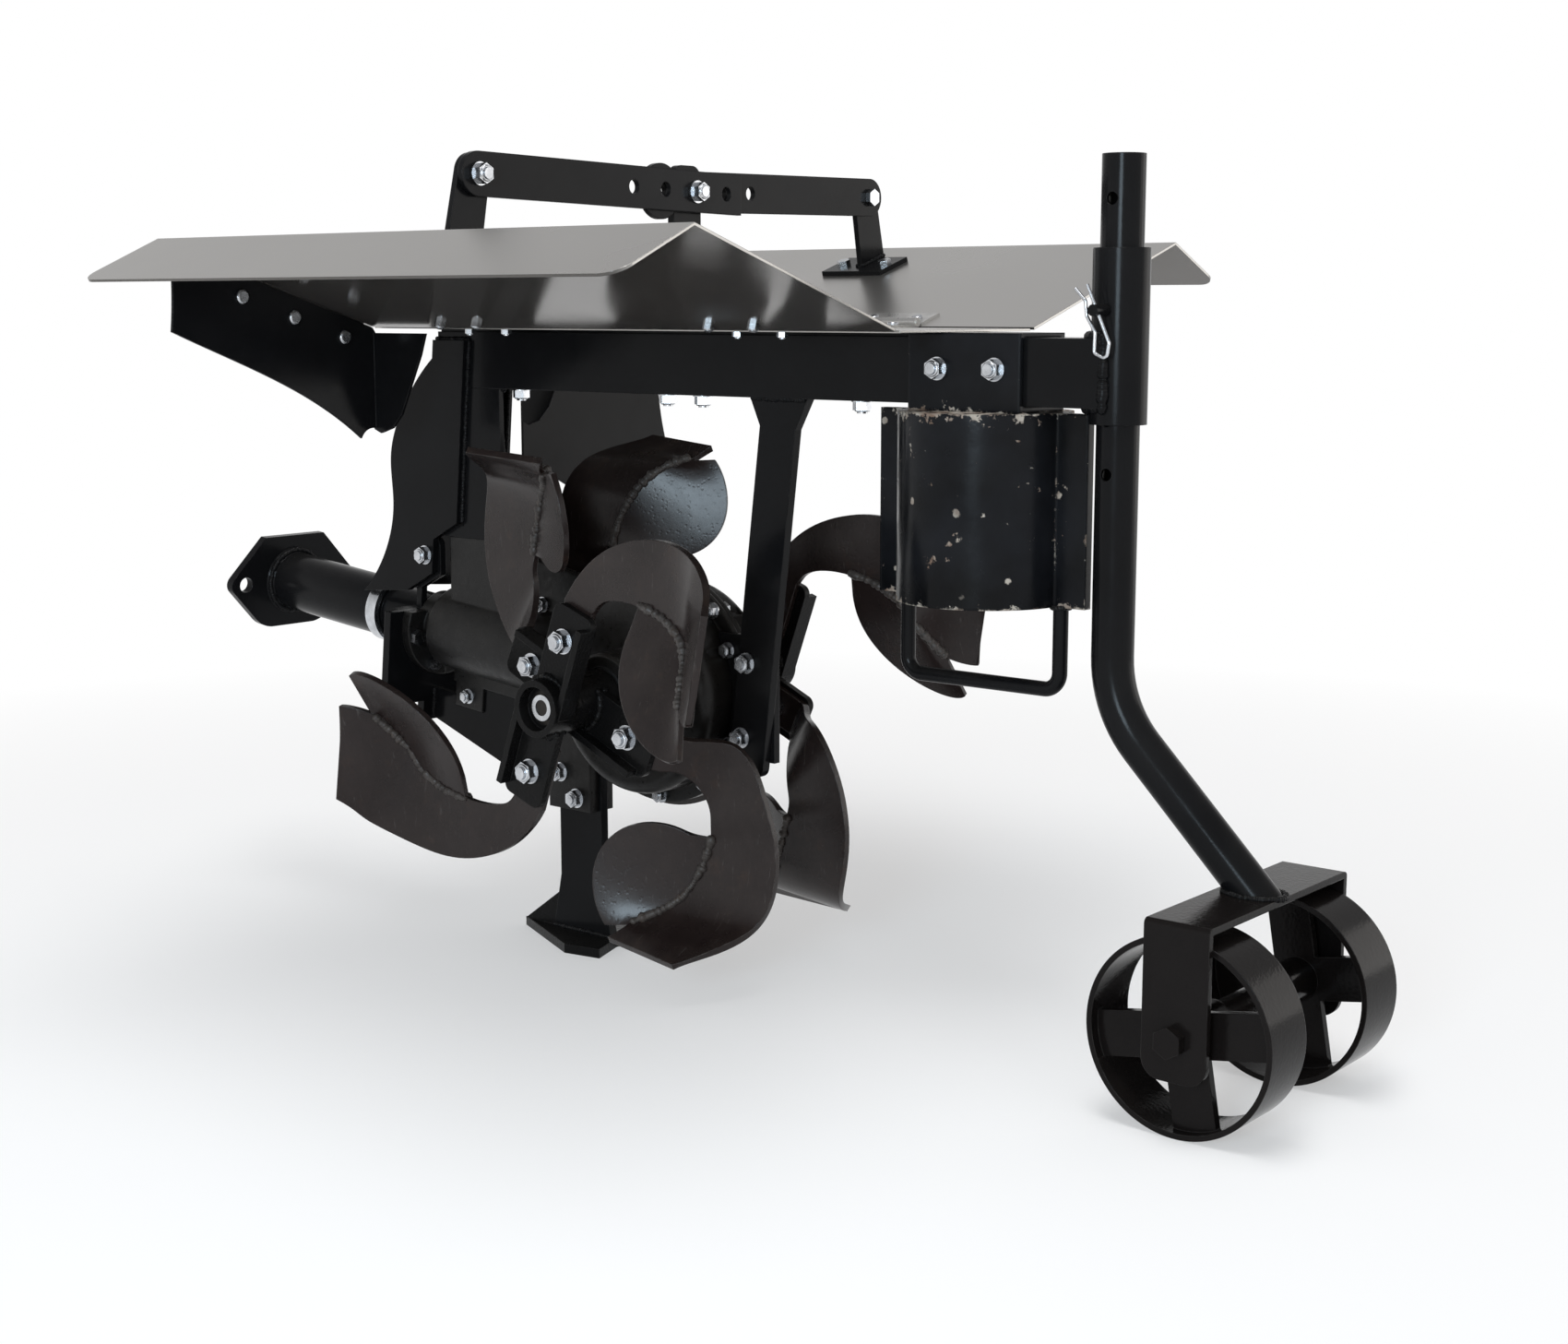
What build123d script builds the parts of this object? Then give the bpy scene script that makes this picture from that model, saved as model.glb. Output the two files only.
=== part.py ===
from build123d import *
from math import atan2, cos, degrees, pi, radians, sin, sqrt, tan
import os

os.makedirs("parts", exist_ok=True)

# Millimetres. The origin is the centre of the drive flange face, +Y is towards the tractor,
# +Z is up and +X is the right-hand side as seen by the operator walking behind.

# Levels and overall layout
FLOOR = -360.0            # level of the wheel treads and of the share sole
BEAM_TOP = 297.0          # top of the main beam
BEAM_SIZE = 60.0          # square tube, outside
BEAM_WALL = 4.0
BEAM_FRONT = -311.0       # front end of the beam
POST_Y = -1150.0          # centre of the gauge-wheel post

# Drive line, sloping down from the drive flange to the rotor axis
DRIVE_LENGTH = 613.5      # flange face to rotor axis
DRIVE_SLOPE = 6.08        # degrees
FLANGE_THICK = 10.0
FLANGE_HALF_WIDTH = 95.0
FLANGE_HALF_HEIGHT = 54.5
FLANGE_HOLE_PITCH = 140.0
FLANGE_HOLE_R = 9.0
TUBE_R = 34.0
TUBE_BORE = 29.0
NECK_R = 30.0
JOINT_FLANGE_R = 58.0     # bolted joint between drive tube, front plate and gearbox
JOINT_FLANGE_TOP = 18.0   # the joint flanges are cut flat above, under the gusset feet
PLATE_FRONT = 262.0       # distance of the front plate behind the flange face
PLATE_THICK = 10.0
COUPLING_R = 10.0         # bore in the front end of the input shaft
COUPLING_DEPTH = 40.0

# Gearbox and gears
DRUM_R = 108.0
DRUM_HALF = 52.0
CAVITY_R = 94.0
CAVITY_HALF = 42.0
SPLIT_R = 122.0           # bolted flange round the parting plane
SPLIT_HALF = 7.0
BOSS_R = 44.0
BOSS_END = 90.0
SNOUT_R = 47.0
SNOUT_START = 300.0
EAR_HALF = 60.0           # half height of the split flange along the snout
SHAFT_R = 17.5            # rotor shaft
INPUT_R = 15.0            # input shaft
ROTOR_BEARING_R = 33.0
ROTOR_SEAL_R = 30.0
INPUT_BEARING_R = 31.0
INPUT_SEAL_R = 25.0
RUNNING = 0.05            # radial running clearance
PINION_TEETH = 11
CROWN_TEETH = 36
CROWN_PITCH_R = 78.0
FACE_WIDTH = 24.0
ADDENDUM = 3.9
DEDENDUM = 5.4
BACKLASH = 0.8

# Rotor
HUB_R = 28.5
HUB_START = 94.0
HUB_END = 185.0
SHAFT_END = 172.0
HOLDER_THICK = 8.0
HOLDER_REACH = 106.0
HOLDER_LIP = 13.0         # side flange of a holder, standing out past its plate
HOLDER_BOLT = 12.0
HOLDER_BOLT_R = 72.0
OUTER_HOLDER = 160.0      # inner faces of the two rows of blade holders
INNER_HOLDER = 115.0
OUTER_ANGLES = (110.0, -70.0)
INNER_ANGLES = (24.0, 204.0)
BLADE_THICK = 7.0
BLADE_WIDTH = 38.0        # at the root
BLADE_WING_THICK = 6.0

# Deck, wings and shields
SHEET = 2.5
PACKING = 4.0             # strip between beam and deck
DECK_HALF = 103.0
DECK_FRONT = -293.0
DECK_REAR = -990.0
HINGE_X = 105.0
HINGE_R = 5.0
PIN_R = 3.0
WING_SLOPE = 17.8
WING_LENGTH = 279.0       # hinge to ridge
LIP_LENGTH = 98.0
LIP_BEND = 42.0
HINGE_Y = (-449.0, -815.0)
HINGE_HALF = 42.0
HINGE_BOLT_OUT = 20.0
HINGE_BOLT_HALF = 27.0
SHIELD_THICK = 3.0

# Adjusting links
LINK_Y = -656.0           # front face of the left bar
LINK_WIDTH = 40.0
LINK_THICK = 6.0
LINK_PITCH = 45.0
LINK_GAP = 0.3
MAST_Z = 436.0
PIVOT_X = 292.0
PIVOT_Z = 441.0

# Gauge wheels
POST_R = 19.0
POST_TOP = 453.0
POST_HOLES = 6
POST_PITCH = 47.0
POST_LEAN = 45.0          # degrees, lower part of the post
PIN_Z = 321.0
SLEEVE_R = 25.0
SLEEVE_BOTTOM = 223.0
SLEEVE_TOP = 374.0
WHEEL_R = 87.0
WHEEL_WIDTH = 60.0
WHEEL_PLAY = 2.0          # between wheel and fork leg
AXLE_Y = -1290.0
AXLE_R = 8.0
FORK_HALF = 125.0
FORK_THICK = 6.0
FORK_TOP = -173.0

# Ballast
BALLAST_Y = -1011.0
BALLAST_R = 80.0
BALLAST_BOTTOM = 58.0

# Levels that follow from the sizes above
BEAM_BOTTOM = BEAM_TOP - BEAM_SIZE
BEAM_HALF = BEAM_SIZE / 2
DECK_BOTTOM = BEAM_TOP + PACKING
DECK_TOP = DECK_BOTTOM + SHEET
HINGE_Z = DECK_TOP + HINGE_R
AXLE_Z = FLOOR + WHEEL_R
WHEEL_X = FORK_HALF - FORK_THICK - WHEEL_PLAY - WHEEL_WIDTH / 2
SLOPE = radians(DRIVE_SLOPE)
AHEAD = Vector(0, cos(SLOPE), sin(SLOPE))
ABOVE = Vector(0, -sin(SLOPE), cos(SLOPE))
ROTOR = AHEAD * -DRIVE_LENGTH
LINK_BACK = LINK_Y - LINK_THICK


def save(name, *shapes):
    """Write one node; several separate solids make a group."""
    solids = [solid for shape in shapes for solid in shape.solids()]
    export_step(solids[0] if len(solids) == 1 else Compound(children=solids), f"parts/{name}.step")


def block(x0, x1, y0, y1, z0, z1):
    """Box between two corners."""
    centre = Pos((x0 + x1) / 2, (y0 + y1) / 2, (z0 + z1) / 2)
    return centre * Box(abs(x1 - x0), abs(y1 - y0), abs(z1 - z0))


def rod(start, end, radius):
    """Round bar between two points."""
    axis = Vector(end) - Vector(start)
    return extrude(Plane(origin=start, z_dir=axis) * Circle(radius), amount=axis.length)


def ring(start, end, radius, bore):
    """Round bar with a bore right through."""
    axis = Vector(end) - Vector(start)
    return extrude(Plane(origin=start, z_dir=axis) * (Circle(radius) - Circle(bore)), amount=axis.length)


def drive(behind, rise=0.0, x=0.0):
    """Point on the drive line, a distance behind the flange face and above the axis."""
    return Vector(x, 0, 0) - AHEAD * behind + ABOVE * rise


def drive_rod(front, rear, radius):
    """Round bar along the drive axis."""
    return rod(drive(front), drive(rear), radius)


def drive_plate(outline, front, rear):
    """Plate square to the drive axis; the outline is drawn in X and height above the axis."""
    plane = Plane(origin=drive(front), x_dir=(1, 0, 0), z_dir=AHEAD * -1)
    return extrude(plane * outline, amount=rear - front)


def outline(*points):
    """Face bounded by straight lines."""
    return make_face(Polyline(*points, close=True))


def side_plate(face, x0, x1):
    """Plate in the Y-Z plane between two X values."""
    return extrude(Plane(origin=(x0, 0, 0), x_dir=(0, 1, 0), z_dir=(1, 0, 0)) * face, amount=x1 - x0)


def cross_plate(face, y0, y1):
    """Plate in the X-Z plane between two Y values."""
    return extrude(Plane(origin=(0, y0, 0), x_dir=(1, 0, 0), z_dir=(0, -1, 0)) * face, amount=y0 - y1)


def hexagon(across_flats, origin, direction, height):
    """Hexagonal prism standing on a point."""
    face = RegularPolygon(across_flats / sqrt(3), 6)
    return extrude(Plane(origin=origin, z_dir=direction) * face, amount=height)


def bolt(head, nut, diameter, stack=1.0):
    """Hex bolt with its head on one point and a washer and nut on the other, tightened as one unit."""
    head, nut = Vector(head), Vector(nut)
    axis = (nut - head).normalized()
    across = 1.6 * diameter
    washer = 0.2 * diameter * stack
    body = rod(head, nut + axis * (1.3 * diameter), diameter / 2)
    body += hexagon(across, head, axis * -1, 0.6 * diameter)
    body += rod(nut, nut + axis * washer, 1.05 * diameter)
    return body + hexagon(across, nut + axis * washer, axis, 0.8 * diameter)


def button_bolt(head, nut, diameter):
    """Round-headed bolt with a plain nut."""
    head, nut = Vector(head), Vector(nut)
    axis = (nut - head).normalized()
    body = rod(head, nut + axis * (1.1 * diameter), diameter / 2)
    dome = rod(head, head - axis * (0.5 * diameter), 0.95 * diameter)
    dome = fillet(dome.edges().group_by(Axis(tuple(head), tuple(axis * -1)))[-1], 0.3 * diameter)
    return body + dome + hexagon(1.6 * diameter, nut, axis, 0.8 * diameter)


def hole(start, end, diameter):
    """Clearance hole for a bolt."""
    return rod(start, end, diameter / 2 + 0.25)


def mirrored(shape):
    return mirror(shape, about=Plane.YZ)


def both(shape):
    """A right-hand shape and its left-hand twin."""
    return [shape, mirrored(shape)]


# Drive tube: flange for the tractor, tube, neck and rear joint flange welded into one piece.
joint_bolts = [(46.0, -10.0), (20.0, -43.0), (-20.0, -43.0), (-46.0, -10.0)]
flange_face = outline(
    (-43, FLANGE_HALF_HEIGHT), (43, FLANGE_HALF_HEIGHT), (FLANGE_HALF_WIDTH, 0),
    (43, -FLANGE_HALF_HEIGHT), (-43, -FLANGE_HALF_HEIGHT), (-FLANGE_HALF_WIDTH, 0),
)
flange_face = fillet(flange_face.vertices().sort_by(Axis.Y)[:2], 34)
flange_face = fillet(flange_face.vertices().sort_by(Axis.X)[0], 12)
flange_face = fillet(flange_face.vertices().sort_by(Axis.X)[-1], 12)
flange_face -= Pos(-FLANGE_HOLE_PITCH / 2, 0) * Circle(FLANGE_HOLE_R)
flange_face -= Pos(FLANGE_HOLE_PITCH / 2, 0) * Circle(FLANGE_HOLE_R)
tube_end = 204.0
neck_bore = 20.0
joint_front = PLATE_FRONT - PLATE_THICK
tube = drive_plate(flange_face, 0, FLANGE_THICK)
tube += drive_rod(FLANGE_THICK, tube_end, TUBE_R)
weld = Plane(origin=drive(FLANGE_THICK), z_dir=AHEAD * -1)
tube += weld * Cone(TUBE_R + 6, TUBE_R, 6, align=(Align.CENTER, Align.CENTER, Align.MIN))
joint_face = Circle(JOINT_FLANGE_R) & Pos(0, JOINT_FLANGE_TOP - 80) * Rectangle(160, 160)
tube += drive_rod(tube_end, PLATE_FRONT, NECK_R)
tube += drive_plate(joint_face, joint_front, PLATE_FRONT)
tube -= drive_rod(-1, tube_end - 6, TUBE_BORE)
tube -= drive_rod(tube_end - 8, PLATE_FRONT + 1, neck_bore)
for x, rise in joint_bolts:
    tube -= hole(drive(joint_front - 1, rise, x), drive(PLATE_FRONT + 1, rise, x), 10)
save("drive_tube", tube)
save("tube_ring", ring(drive(tube_end - 18), drive(tube_end - 2), TUBE_R + 4, TUBE_R))

# Front plate: bolted between tube and gearbox, with two lugs reaching up to the gusset feet.
plate_rear = PLATE_FRONT + PLATE_THICK
gusset_bolt = (-291.0, 52.0)
lug_in = 22.0
plate_face = joint_face + Pos(0, JOINT_FLANGE_TOP - 54) * Rectangle(150, 108)
plate_face += Pos(0, -98) * Rectangle(40, 30)
plate = drive_plate(plate_face, PLATE_FRONT, plate_rear)
plate -= drive_rod(PLATE_FRONT - 1, plate_rear + 1, neck_bore)
for x, rise in joint_bolts:
    plate -= hole(drive(PLATE_FRONT - 1, rise, x), drive(plate_rear + 1, rise, x), 10)
lug_face = outline(
    (-306, 72), (-276, 72), (-266, 20), (-264, -18), (-271, -18), (-274, 14), (-306, 30),
)
lug_face = fillet(lug_face.vertices().sort_by(Axis.Y)[-2:], 12)
for lug in both(side_plate(lug_face, lug_in, BEAM_HALF)):
    plate += lug
gusset_out = BEAM_HALF + 8.0
plate -= hole((-50, *gusset_bolt), (50, *gusset_bolt), 10)
save("front_plate", plate)

# Gearbox castings: drum, side bosses, snout, split flange with its rib, top pad and share lugs, cut at the
# parting plane. What stands on the rear of the gearbox is placed from the rotor axis.
rotor_y = ROTOR.Y
post_front = -345.0
post_back = -405.0
pad_front_top = 74.0
share_in = 5.0
share_out = 17.0
share_y = (rotor_y + 90, rotor_y + 152)
share_bolts = [(rotor_y + 134, -172.0), (rotor_y + 110, -198.0)]
joint_rear = plate_rear + 12.0
drum_edge = [(angle, 115.0) for angle in (48, 132, 155, 205, 235, 268, 300)]
split_bolts = [(rotor_y + r * cos(radians(a)), ROTOR.Z + r * sin(radians(a))) for a, r in drum_edge]
snout_bolt = DRIVE_LENGTH - 173.5
for behind, rise in ((SNOUT_START + 32, -73), (snout_bolt, -53), (snout_bolt, 53)):
    point = drive(behind, rise)
    split_bolts.append((point.Y, point.Z))
bracket_bolts = split_bolts[2:4]
lobe = (SNOUT_START + 10, SNOUT_START + 54)
lobe_low = 87.0


def across(radius, x0, x1):
    """Round bar on the rotor axis."""
    return rod((x0, rotor_y, ROTOR.Z), (x1, rotor_y, ROTOR.Z), radius)


def ears(front, rear, low, high):
    """Split flange along the snout, between two heights from the drive line."""
    plane = Plane(origin=drive((front + rear) / 2, (low + high) / 2), x_dir=(1, 0, 0), z_dir=AHEAD)
    return plane * Box(2 * SPLIT_HALF, high - low, rear - front)


def casting(side):
    """One half of the gearbox; side is -1 for left and +1 for right."""
    drum = across(DRUM_R, 0, side * DRUM_HALF)
    drum = fillet(drum.edges().group_by(Axis.X)[0 if side < 0 else -1], 14)
    boss = across(BOSS_R, 0, side * BOSS_END)
    boss = chamfer(boss.edges().group_by(Axis.X)[0 if side < 0 else -1], 3)
    body = drum + boss + across(SPLIT_R, 0, side * SPLIT_HALF)
    snout = drive_rod(SNOUT_START, DRIVE_LENGTH, SNOUT_R)
    snout += ears(SNOUT_START + 6, DRIVE_LENGTH - 53.5, -EAR_HALF, EAR_HALF) + ears(*lobe, -lobe_low, 0)
    snout += drive_rod(plate_rear, SNOUT_START, 36) + drive_plate(joint_face, plate_rear, joint_rear)
    snout += block(-28, 28, post_back - 5, post_front + 25, -40, pad_front_top)
    rib = outline((post_back - 4, 58), (rotor_y + 60, 30), (rotor_y + 60, -20), (post_back - 4, -20))
    snout += side_plate(rib, -SPLIT_HALF, SPLIT_HALF)
    snout += block(-share_out, share_out, *share_y, -212, -90)
    body += snout & block(0, side * 100, rotor_y - 200, 0, -400, 200)
    body -= across(CAVITY_R, 0, side * CAVITY_HALF)
    body -= across(ROTOR_BEARING_R, 0, side * 80) + across(ROTOR_SEAL_R, 0, side * 95)
    body -= drive_rod(SNOUT_START, DRIVE_LENGTH, INPUT_BEARING_R)
    body -= drive_rod(plate_rear - 1, SNOUT_START + 1, INPUT_SEAL_R)
    body -= block(-share_in, share_in, share_y[0] - 1, share_y[1] + 1, -213, -152)
    for y, z in split_bolts:
        body -= hole((-20, y, z), (20, y, z), 8)
        body -= rod((side * SPLIT_HALF, y, z), (side * (SPLIT_HALF + 32), y, z), 9)
    for y, z in share_bolts:
        body -= hole((-30, y, z), (30, y, z), 10)
    for x, rise in joint_bolts:
        body -= hole(drive(plate_rear - 1, rise, x), drive(joint_rear + 1, rise, x), 10)
    return body


save("gearbox_left", casting(-1))
save("gearbox_right", casting(1))

# Input shaft with the coupling bore, on two bearings in the snout.
pinion_angle = atan2(PINION_TEETH, CROWN_TEETH)
crown_angle = pi / 2 - pinion_angle
cone_length = CROWN_PITCH_R / sin(crown_angle)
inner_scale = (cone_length - FACE_WIDTH) / cone_length
shaft_step = DRIVE_LENGTH - CROWN_PITCH_R - 22
shaft_tip = DRIVE_LENGTH - inner_scale * CROWN_PITCH_R - 1
journal_r = 10.0
shaft = drive_rod(15, shaft_step, INPUT_R) + drive_rod(shaft_step, shaft_tip, journal_r)
shaft -= drive_rod(14, 15 + COUPLING_DEPTH, COUPLING_R)
save("input_shaft", shaft)


def bevel_teeth(axis, start, teeth, cone, profile, phase):
    """Teeth of a bevel gear: each one a straight loft that shrinks towards the common apex."""
    side = axis.cross(start)
    solids = []
    for i in range(teeth):
        turn = radians(phase) + 2 * pi * i / teeth
        radial = start * cos(turn) + side * sin(turn)
        along = side * cos(turn) - start * sin(turn)
        ray = axis * cos(cone) + radial * sin(cone)
        normal = radial * cos(cone) - axis * sin(cone)
        ends = []
        for scale in (1.0, inner_scale):
            points = [ROTOR + (ray * cone_length + normal * h + along * w) * scale for h, w in profile]
            ends.append(Face(Wire.make_polygon(points, close=True)))
        solids.append(loft(ends, ruled=True))
    return solids


def tooth(half_pitch_width, tip_slope, root_slope, rounding):
    """Symmetric tooth outline as height and half width, root to tip and back."""
    rise = [(-DEDENDUM - 1.0, half_pitch_width + root_slope * DEDENDUM), (0.0, half_pitch_width)]
    rise += [(0.55 * ADDENDUM, half_pitch_width - tip_slope * 0.5 * ADDENDUM)]
    rise += [(ADDENDUM, half_pitch_width - tip_slope * ADDENDUM - rounding)]
    return rise + [(h, -w) for h, w in reversed(rise)]


def gear_blank(axis, start, points):
    """Solid of revolution round a gear axis, from points of distance along the axis and radius."""
    plane = Plane(origin=ROTOR, x_dir=axis, z_dir=axis.cross(start))
    return revolve(plane * outline(*points), axis=Axis(tuple(ROTOR), tuple(axis)))


def root_point(cone, scale):
    """Foot of a tooth, as distance along the gear axis and radius."""
    along = (cone_length * cos(cone) + DEDENDUM * sin(cone)) * scale
    return along, (cone_length * sin(cone) - DEDENDUM * cos(cone)) * scale


# Bevel pinion on the input shaft and crown wheel on the rotor shaft, meshing at a common apex.
circular_pitch = 2 * pi * CROWN_PITCH_R / CROWN_TEETH
half_tooth = (circular_pitch - BACKLASH) / 4
crown_axis = Vector(1, 0, 0)
pinion_small = root_point(pinion_angle, inner_scale)
pinion_large = root_point(pinion_angle, 1.0)
pinion = gear_blank(AHEAD, crown_axis, [
    (pinion_small[0], journal_r), pinion_small, pinion_large, (pinion_large[0] + 2, 20),
    (DRIVE_LENGTH - shaft_step, 20), (DRIVE_LENGTH - shaft_step, journal_r),
])
pinion_tooth = tooth(half_tooth, 0.5, 0.12, 0.25)
for solid in bevel_teeth(AHEAD, crown_axis, PINION_TEETH, pinion_angle, pinion_tooth, 180 / PINION_TEETH):
    pinion += solid
save("bevel_pinion", pinion)

crown_small = root_point(crown_angle, inner_scale)
crown_large = root_point(crown_angle, 1.0)
crown_back = CAVITY_HALF - 2
crown = gear_blank(crown_axis, AHEAD, [
    (26, SHAFT_R), (26, crown_small[1] - 4), crown_small, crown_large,
    (crown_large[0] + 4, CROWN_PITCH_R + 2), (crown_back, CROWN_PITCH_R + 2), (crown_back, SHAFT_R),
])
crown_tooth = tooth(half_tooth, 0.36, 0.36, 0.2)
for solid in bevel_teeth(crown_axis, AHEAD, CROWN_TEETH, crown_angle, crown_tooth, 0):
    crown += solid
save("crown_gear", crown)

# Bearings and oil seals of both shafts.
input_bore = INPUT_R + RUNNING
rotor_bore = SHAFT_R + RUNNING
bearings = []
for front in (SNOUT_START + 10, shaft_step - 45.5):
    bearings.append(ring(drive(front), drive(front + 18), INPUT_BEARING_R, input_bore))
seals = [ring(drive(SNOUT_START - 12), drive(SNOUT_START - 2), INPUT_SEAL_R, input_bore)]
for side in (-1, 1):
    start, end = [Vector(side * x, rotor_y, ROTOR.Z) for x in (60, 79)]
    bearings.append(ring(start, end, ROTOR_BEARING_R, rotor_bore))
    start, end = [Vector(side * x, rotor_y, ROTOR.Z) for x in (80, 88)]
    seals.append(ring(start, end, ROTOR_SEAL_R, rotor_bore))
save("shaft_bearings", *bearings)
save("shaft_seals", *seals)

# Rotor shaft, hub tubes and the rings that close them.
rotor_shaft = across(SHAFT_R, -SHAFT_END, SHAFT_END) + across(8, -SHAFT_END - 3, SHAFT_END + 3)
save("rotor_shaft", rotor_shaft)
hub = across(HUB_R, HUB_START, HUB_END) - across(SHAFT_R, HUB_START - 1, SHAFT_END)
hub -= across(22, SHAFT_END, HUB_END + 1)
save("rotor_hubs", *both(hub))
save("hub_end_rings", *both(across(13, SHAFT_END, SHAFT_END + 4) - across(8, SHAFT_END - 1, SHAFT_END + 5)))


def spin(shape, angle):
    """Turn a shape drawn with its holder pointing forward about the rotor axis."""
    return Pos(*ROTOR) * Rot(angle, 0, 0) * shape


def holder(inner_face):
    """Plate welded to the hub with a side flange; drawn pointing forward at the origin."""
    x1 = inner_face + HOLDER_THICK
    body = block(inner_face, x1, 0, HOLDER_REACH, -23, 30)
    body = fillet(body.edges().filter_by(Axis.X).group_by(Axis.Y)[-1], 10)
    body += block(inner_face, x1 + HOLDER_LIP, 0, HOLDER_REACH - 10, 23, 30)
    body -= rod((inner_face - 30, 0, 0), (inner_face + 30, 0, 0), HUB_R)
    return body - hole((inner_face - 1, HOLDER_BOLT_R, 0), (x1 + 1, HOLDER_BOLT_R, 0), HOLDER_BOLT)


def holder_bolt(inner_face):
    """Bolt through blade root and holder."""
    root = inner_face - BLADE_THICK
    return bolt((root, HOLDER_BOLT_R, 0), (inner_face + HOLDER_THICK, HOLDER_BOLT_R, 0), HOLDER_BOLT, 0.8)


def bent_plate(outer, inner, thickness):
    """Plate that follows matching points of its two long edges."""
    middle = [(a + b) * 0.5 for a, b in zip(outer, inner)]
    sections = []
    for i in range(len(middle)):
        path = middle[min(i + 1, len(middle) - 1)] - middle[max(i - 1, 0)]
        lift = (outer[i] - inner[i]).cross(path).normalized() * (thickness / 2)
        corners = [outer[i] + lift, inner[i] + lift, inner[i] - lift, outer[i] - lift]
        sections.append(Face(Wire.make_polygon(corners, close=True)))
    return loft(sections)


def blade(inner_face, convex, concave, wing_from, wing_edge):
    """Sickle blade with an oval wing welded along its hollow edge.

    Points are radial, tangential and outwards from the middle of the root plate.
    """
    plane_x = inner_face - BLADE_THICK / 2
    outer = [Vector(plane_x + s, u, v) for u, v, s in convex]
    inner = [Vector(plane_x + s, u, v) for u, v, s in concave]
    body = bent_plate(outer, inner, BLADE_THICK)
    half = BLADE_WIDTH / 2
    body += block(plane_x - BLADE_THICK / 2, inner_face, 42, convex[0][0] + 2, -half, half)
    body -= hole((plane_x - 9, HOLDER_BOLT_R, 0), (plane_x + 9, HOLDER_BOLT_R, 0), HOLDER_BOLT)
    rim = [Vector(plane_x + s, u, v) for u, v, s in wing_edge]
    seam = []
    for i in range(len(rim)):
        across_plate = (outer[wing_from + i] - inner[wing_from + i]).normalized()
        seam.append(inner[wing_from + i] + across_plate * 4)
    return body + bent_plate(seam, rim, BLADE_WING_THICK)


outer_blade = blade(
    OUTER_HOLDER,
    [
        (108, -19, 0), (126, -14, 0), (160, 4, 1), (196, 42, 5), (216, 84, 9),
        (222, 125, 18), (220, 152, 30), (213, 178, 46), (199, 201, 68),
    ],
    [
        (108, 19, 0), (118, 23, 0), (134, 42, 2), (145, 80, 6), (147, 112, 9),
        (140, 143, 13), (124, 160, 20), (98, 190, 49), (100, 219, 70),
    ],
    3, [(123, 82, 15), (93, 93, 30), (64, 127, 49), (52, 174, 64), (63, 219, 69)],
)
inner_blade = blade(
    INNER_HOLDER,
    [
        (100, -19, 0), (112, -21, -10), (134, -26, -34), (155, -30, -49), (189, -14, -54), (228, 26, -55),
        (250, 70, -56), (256, 108, -51), (254, 127, -38), (243, 148, -4), (226, 168, 28),
    ],
    [
        (100, 19, 0), (110, 18.5, -10), (126, 20, -31), (142, 33, -45), (156, 50, -50), (165, 74, -52),
        (168, 106, -49), (165, 140, -39), (155, 164, -24), (143, 181, -3), (135, 200, 17),
    ],
    5, [(145, 79, -41), (105, 86, -21), (81, 118, 1), (87, 156, 12), (121, 193, 11)],
)
holders = []
holder_fixings = []
for inner_face, angles in ((OUTER_HOLDER, OUTER_ANGLES), (INNER_HOLDER, INNER_ANGLES)):
    for angle in angles:
        holders += both(spin(holder(inner_face), angle))
        holder_fixings += both(spin(holder_bolt(inner_face), angle))
outer_blades = [spin(outer_blade, angle) for angle in OUTER_ANGLES]
inner_blades = [spin(inner_blade, angle) for angle in INNER_ANGLES]
save("blade_holders", *holders)
save("blade_bolts", *holder_fixings)
save("blades_right_outer", *outer_blades)
save("blades_right_inner", *inner_blades)
save("blades_left_outer", *[mirrored(item) for item in outer_blades])
save("blades_left_inner", *[mirrored(item) for item in inner_blades])

# Main beam: closed square tube with a packing strip for the deck, coped to the post sleeve.
deck_bolts_y = (-408.0, -870.0)
mast_y = LINK_Y + LINK_THICK + 2 * LINK_GAP + 4
mast_bolts_y = (mast_y - 24, mast_y + 24)
clamp_bolts = [(BALLAST_Y + 28, BEAM_TOP - 28), (BALLAST_Y - 34, BEAM_TOP - 28)]
clamp_front = BALLAST_Y + 61
inside = BEAM_HALF - BEAM_WALL
beam = block(-BEAM_HALF, BEAM_HALF, POST_Y, BEAM_FRONT, BEAM_BOTTOM, BEAM_TOP)
beam -= block(-inside, inside, POST_Y, BEAM_FRONT - BEAM_WALL, BEAM_BOTTOM + BEAM_WALL, BEAM_TOP - BEAM_WALL)
beam += block(-25, 25, clamp_front + 5, BEAM_FRONT, BEAM_TOP, DECK_BOTTOM)
beam -= rod((0, POST_Y, BEAM_BOTTOM - 1), (0, POST_Y, BEAM_TOP + 1), SLEEVE_R + 0.1)
for y in deck_bolts_y + mast_bolts_y:
    beam -= hole((0, y, BEAM_BOTTOM - 1), (0, y, DECK_BOTTOM + 1), 10)
for y, z in clamp_bolts:
    beam -= hole((-BEAM_HALF - 1, y, z), (BEAM_HALF + 1, y, z), 10)
save("main_beam", beam.solids().sort_by(SortBy.VOLUME)[-1])

# Front post: angle bar on a foot, standing on the gearbox.
foot_top = pad_front_top + 13
angle_wall = 6.0
front_post = block(-BEAM_HALF, BEAM_HALF, post_back, post_front, foot_top, BEAM_BOTTOM)
hollow = (angle_wall - BEAM_HALF, BEAM_HALF, post_back, post_front - angle_wall, foot_top, BEAM_BOTTOM)
front_post -= block(*hollow)
front_post += block(-BEAM_HALF, BEAM_HALF, post_back - 10, post_front + 37, pad_front_top, foot_top)
save("front_post", front_post)

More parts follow.
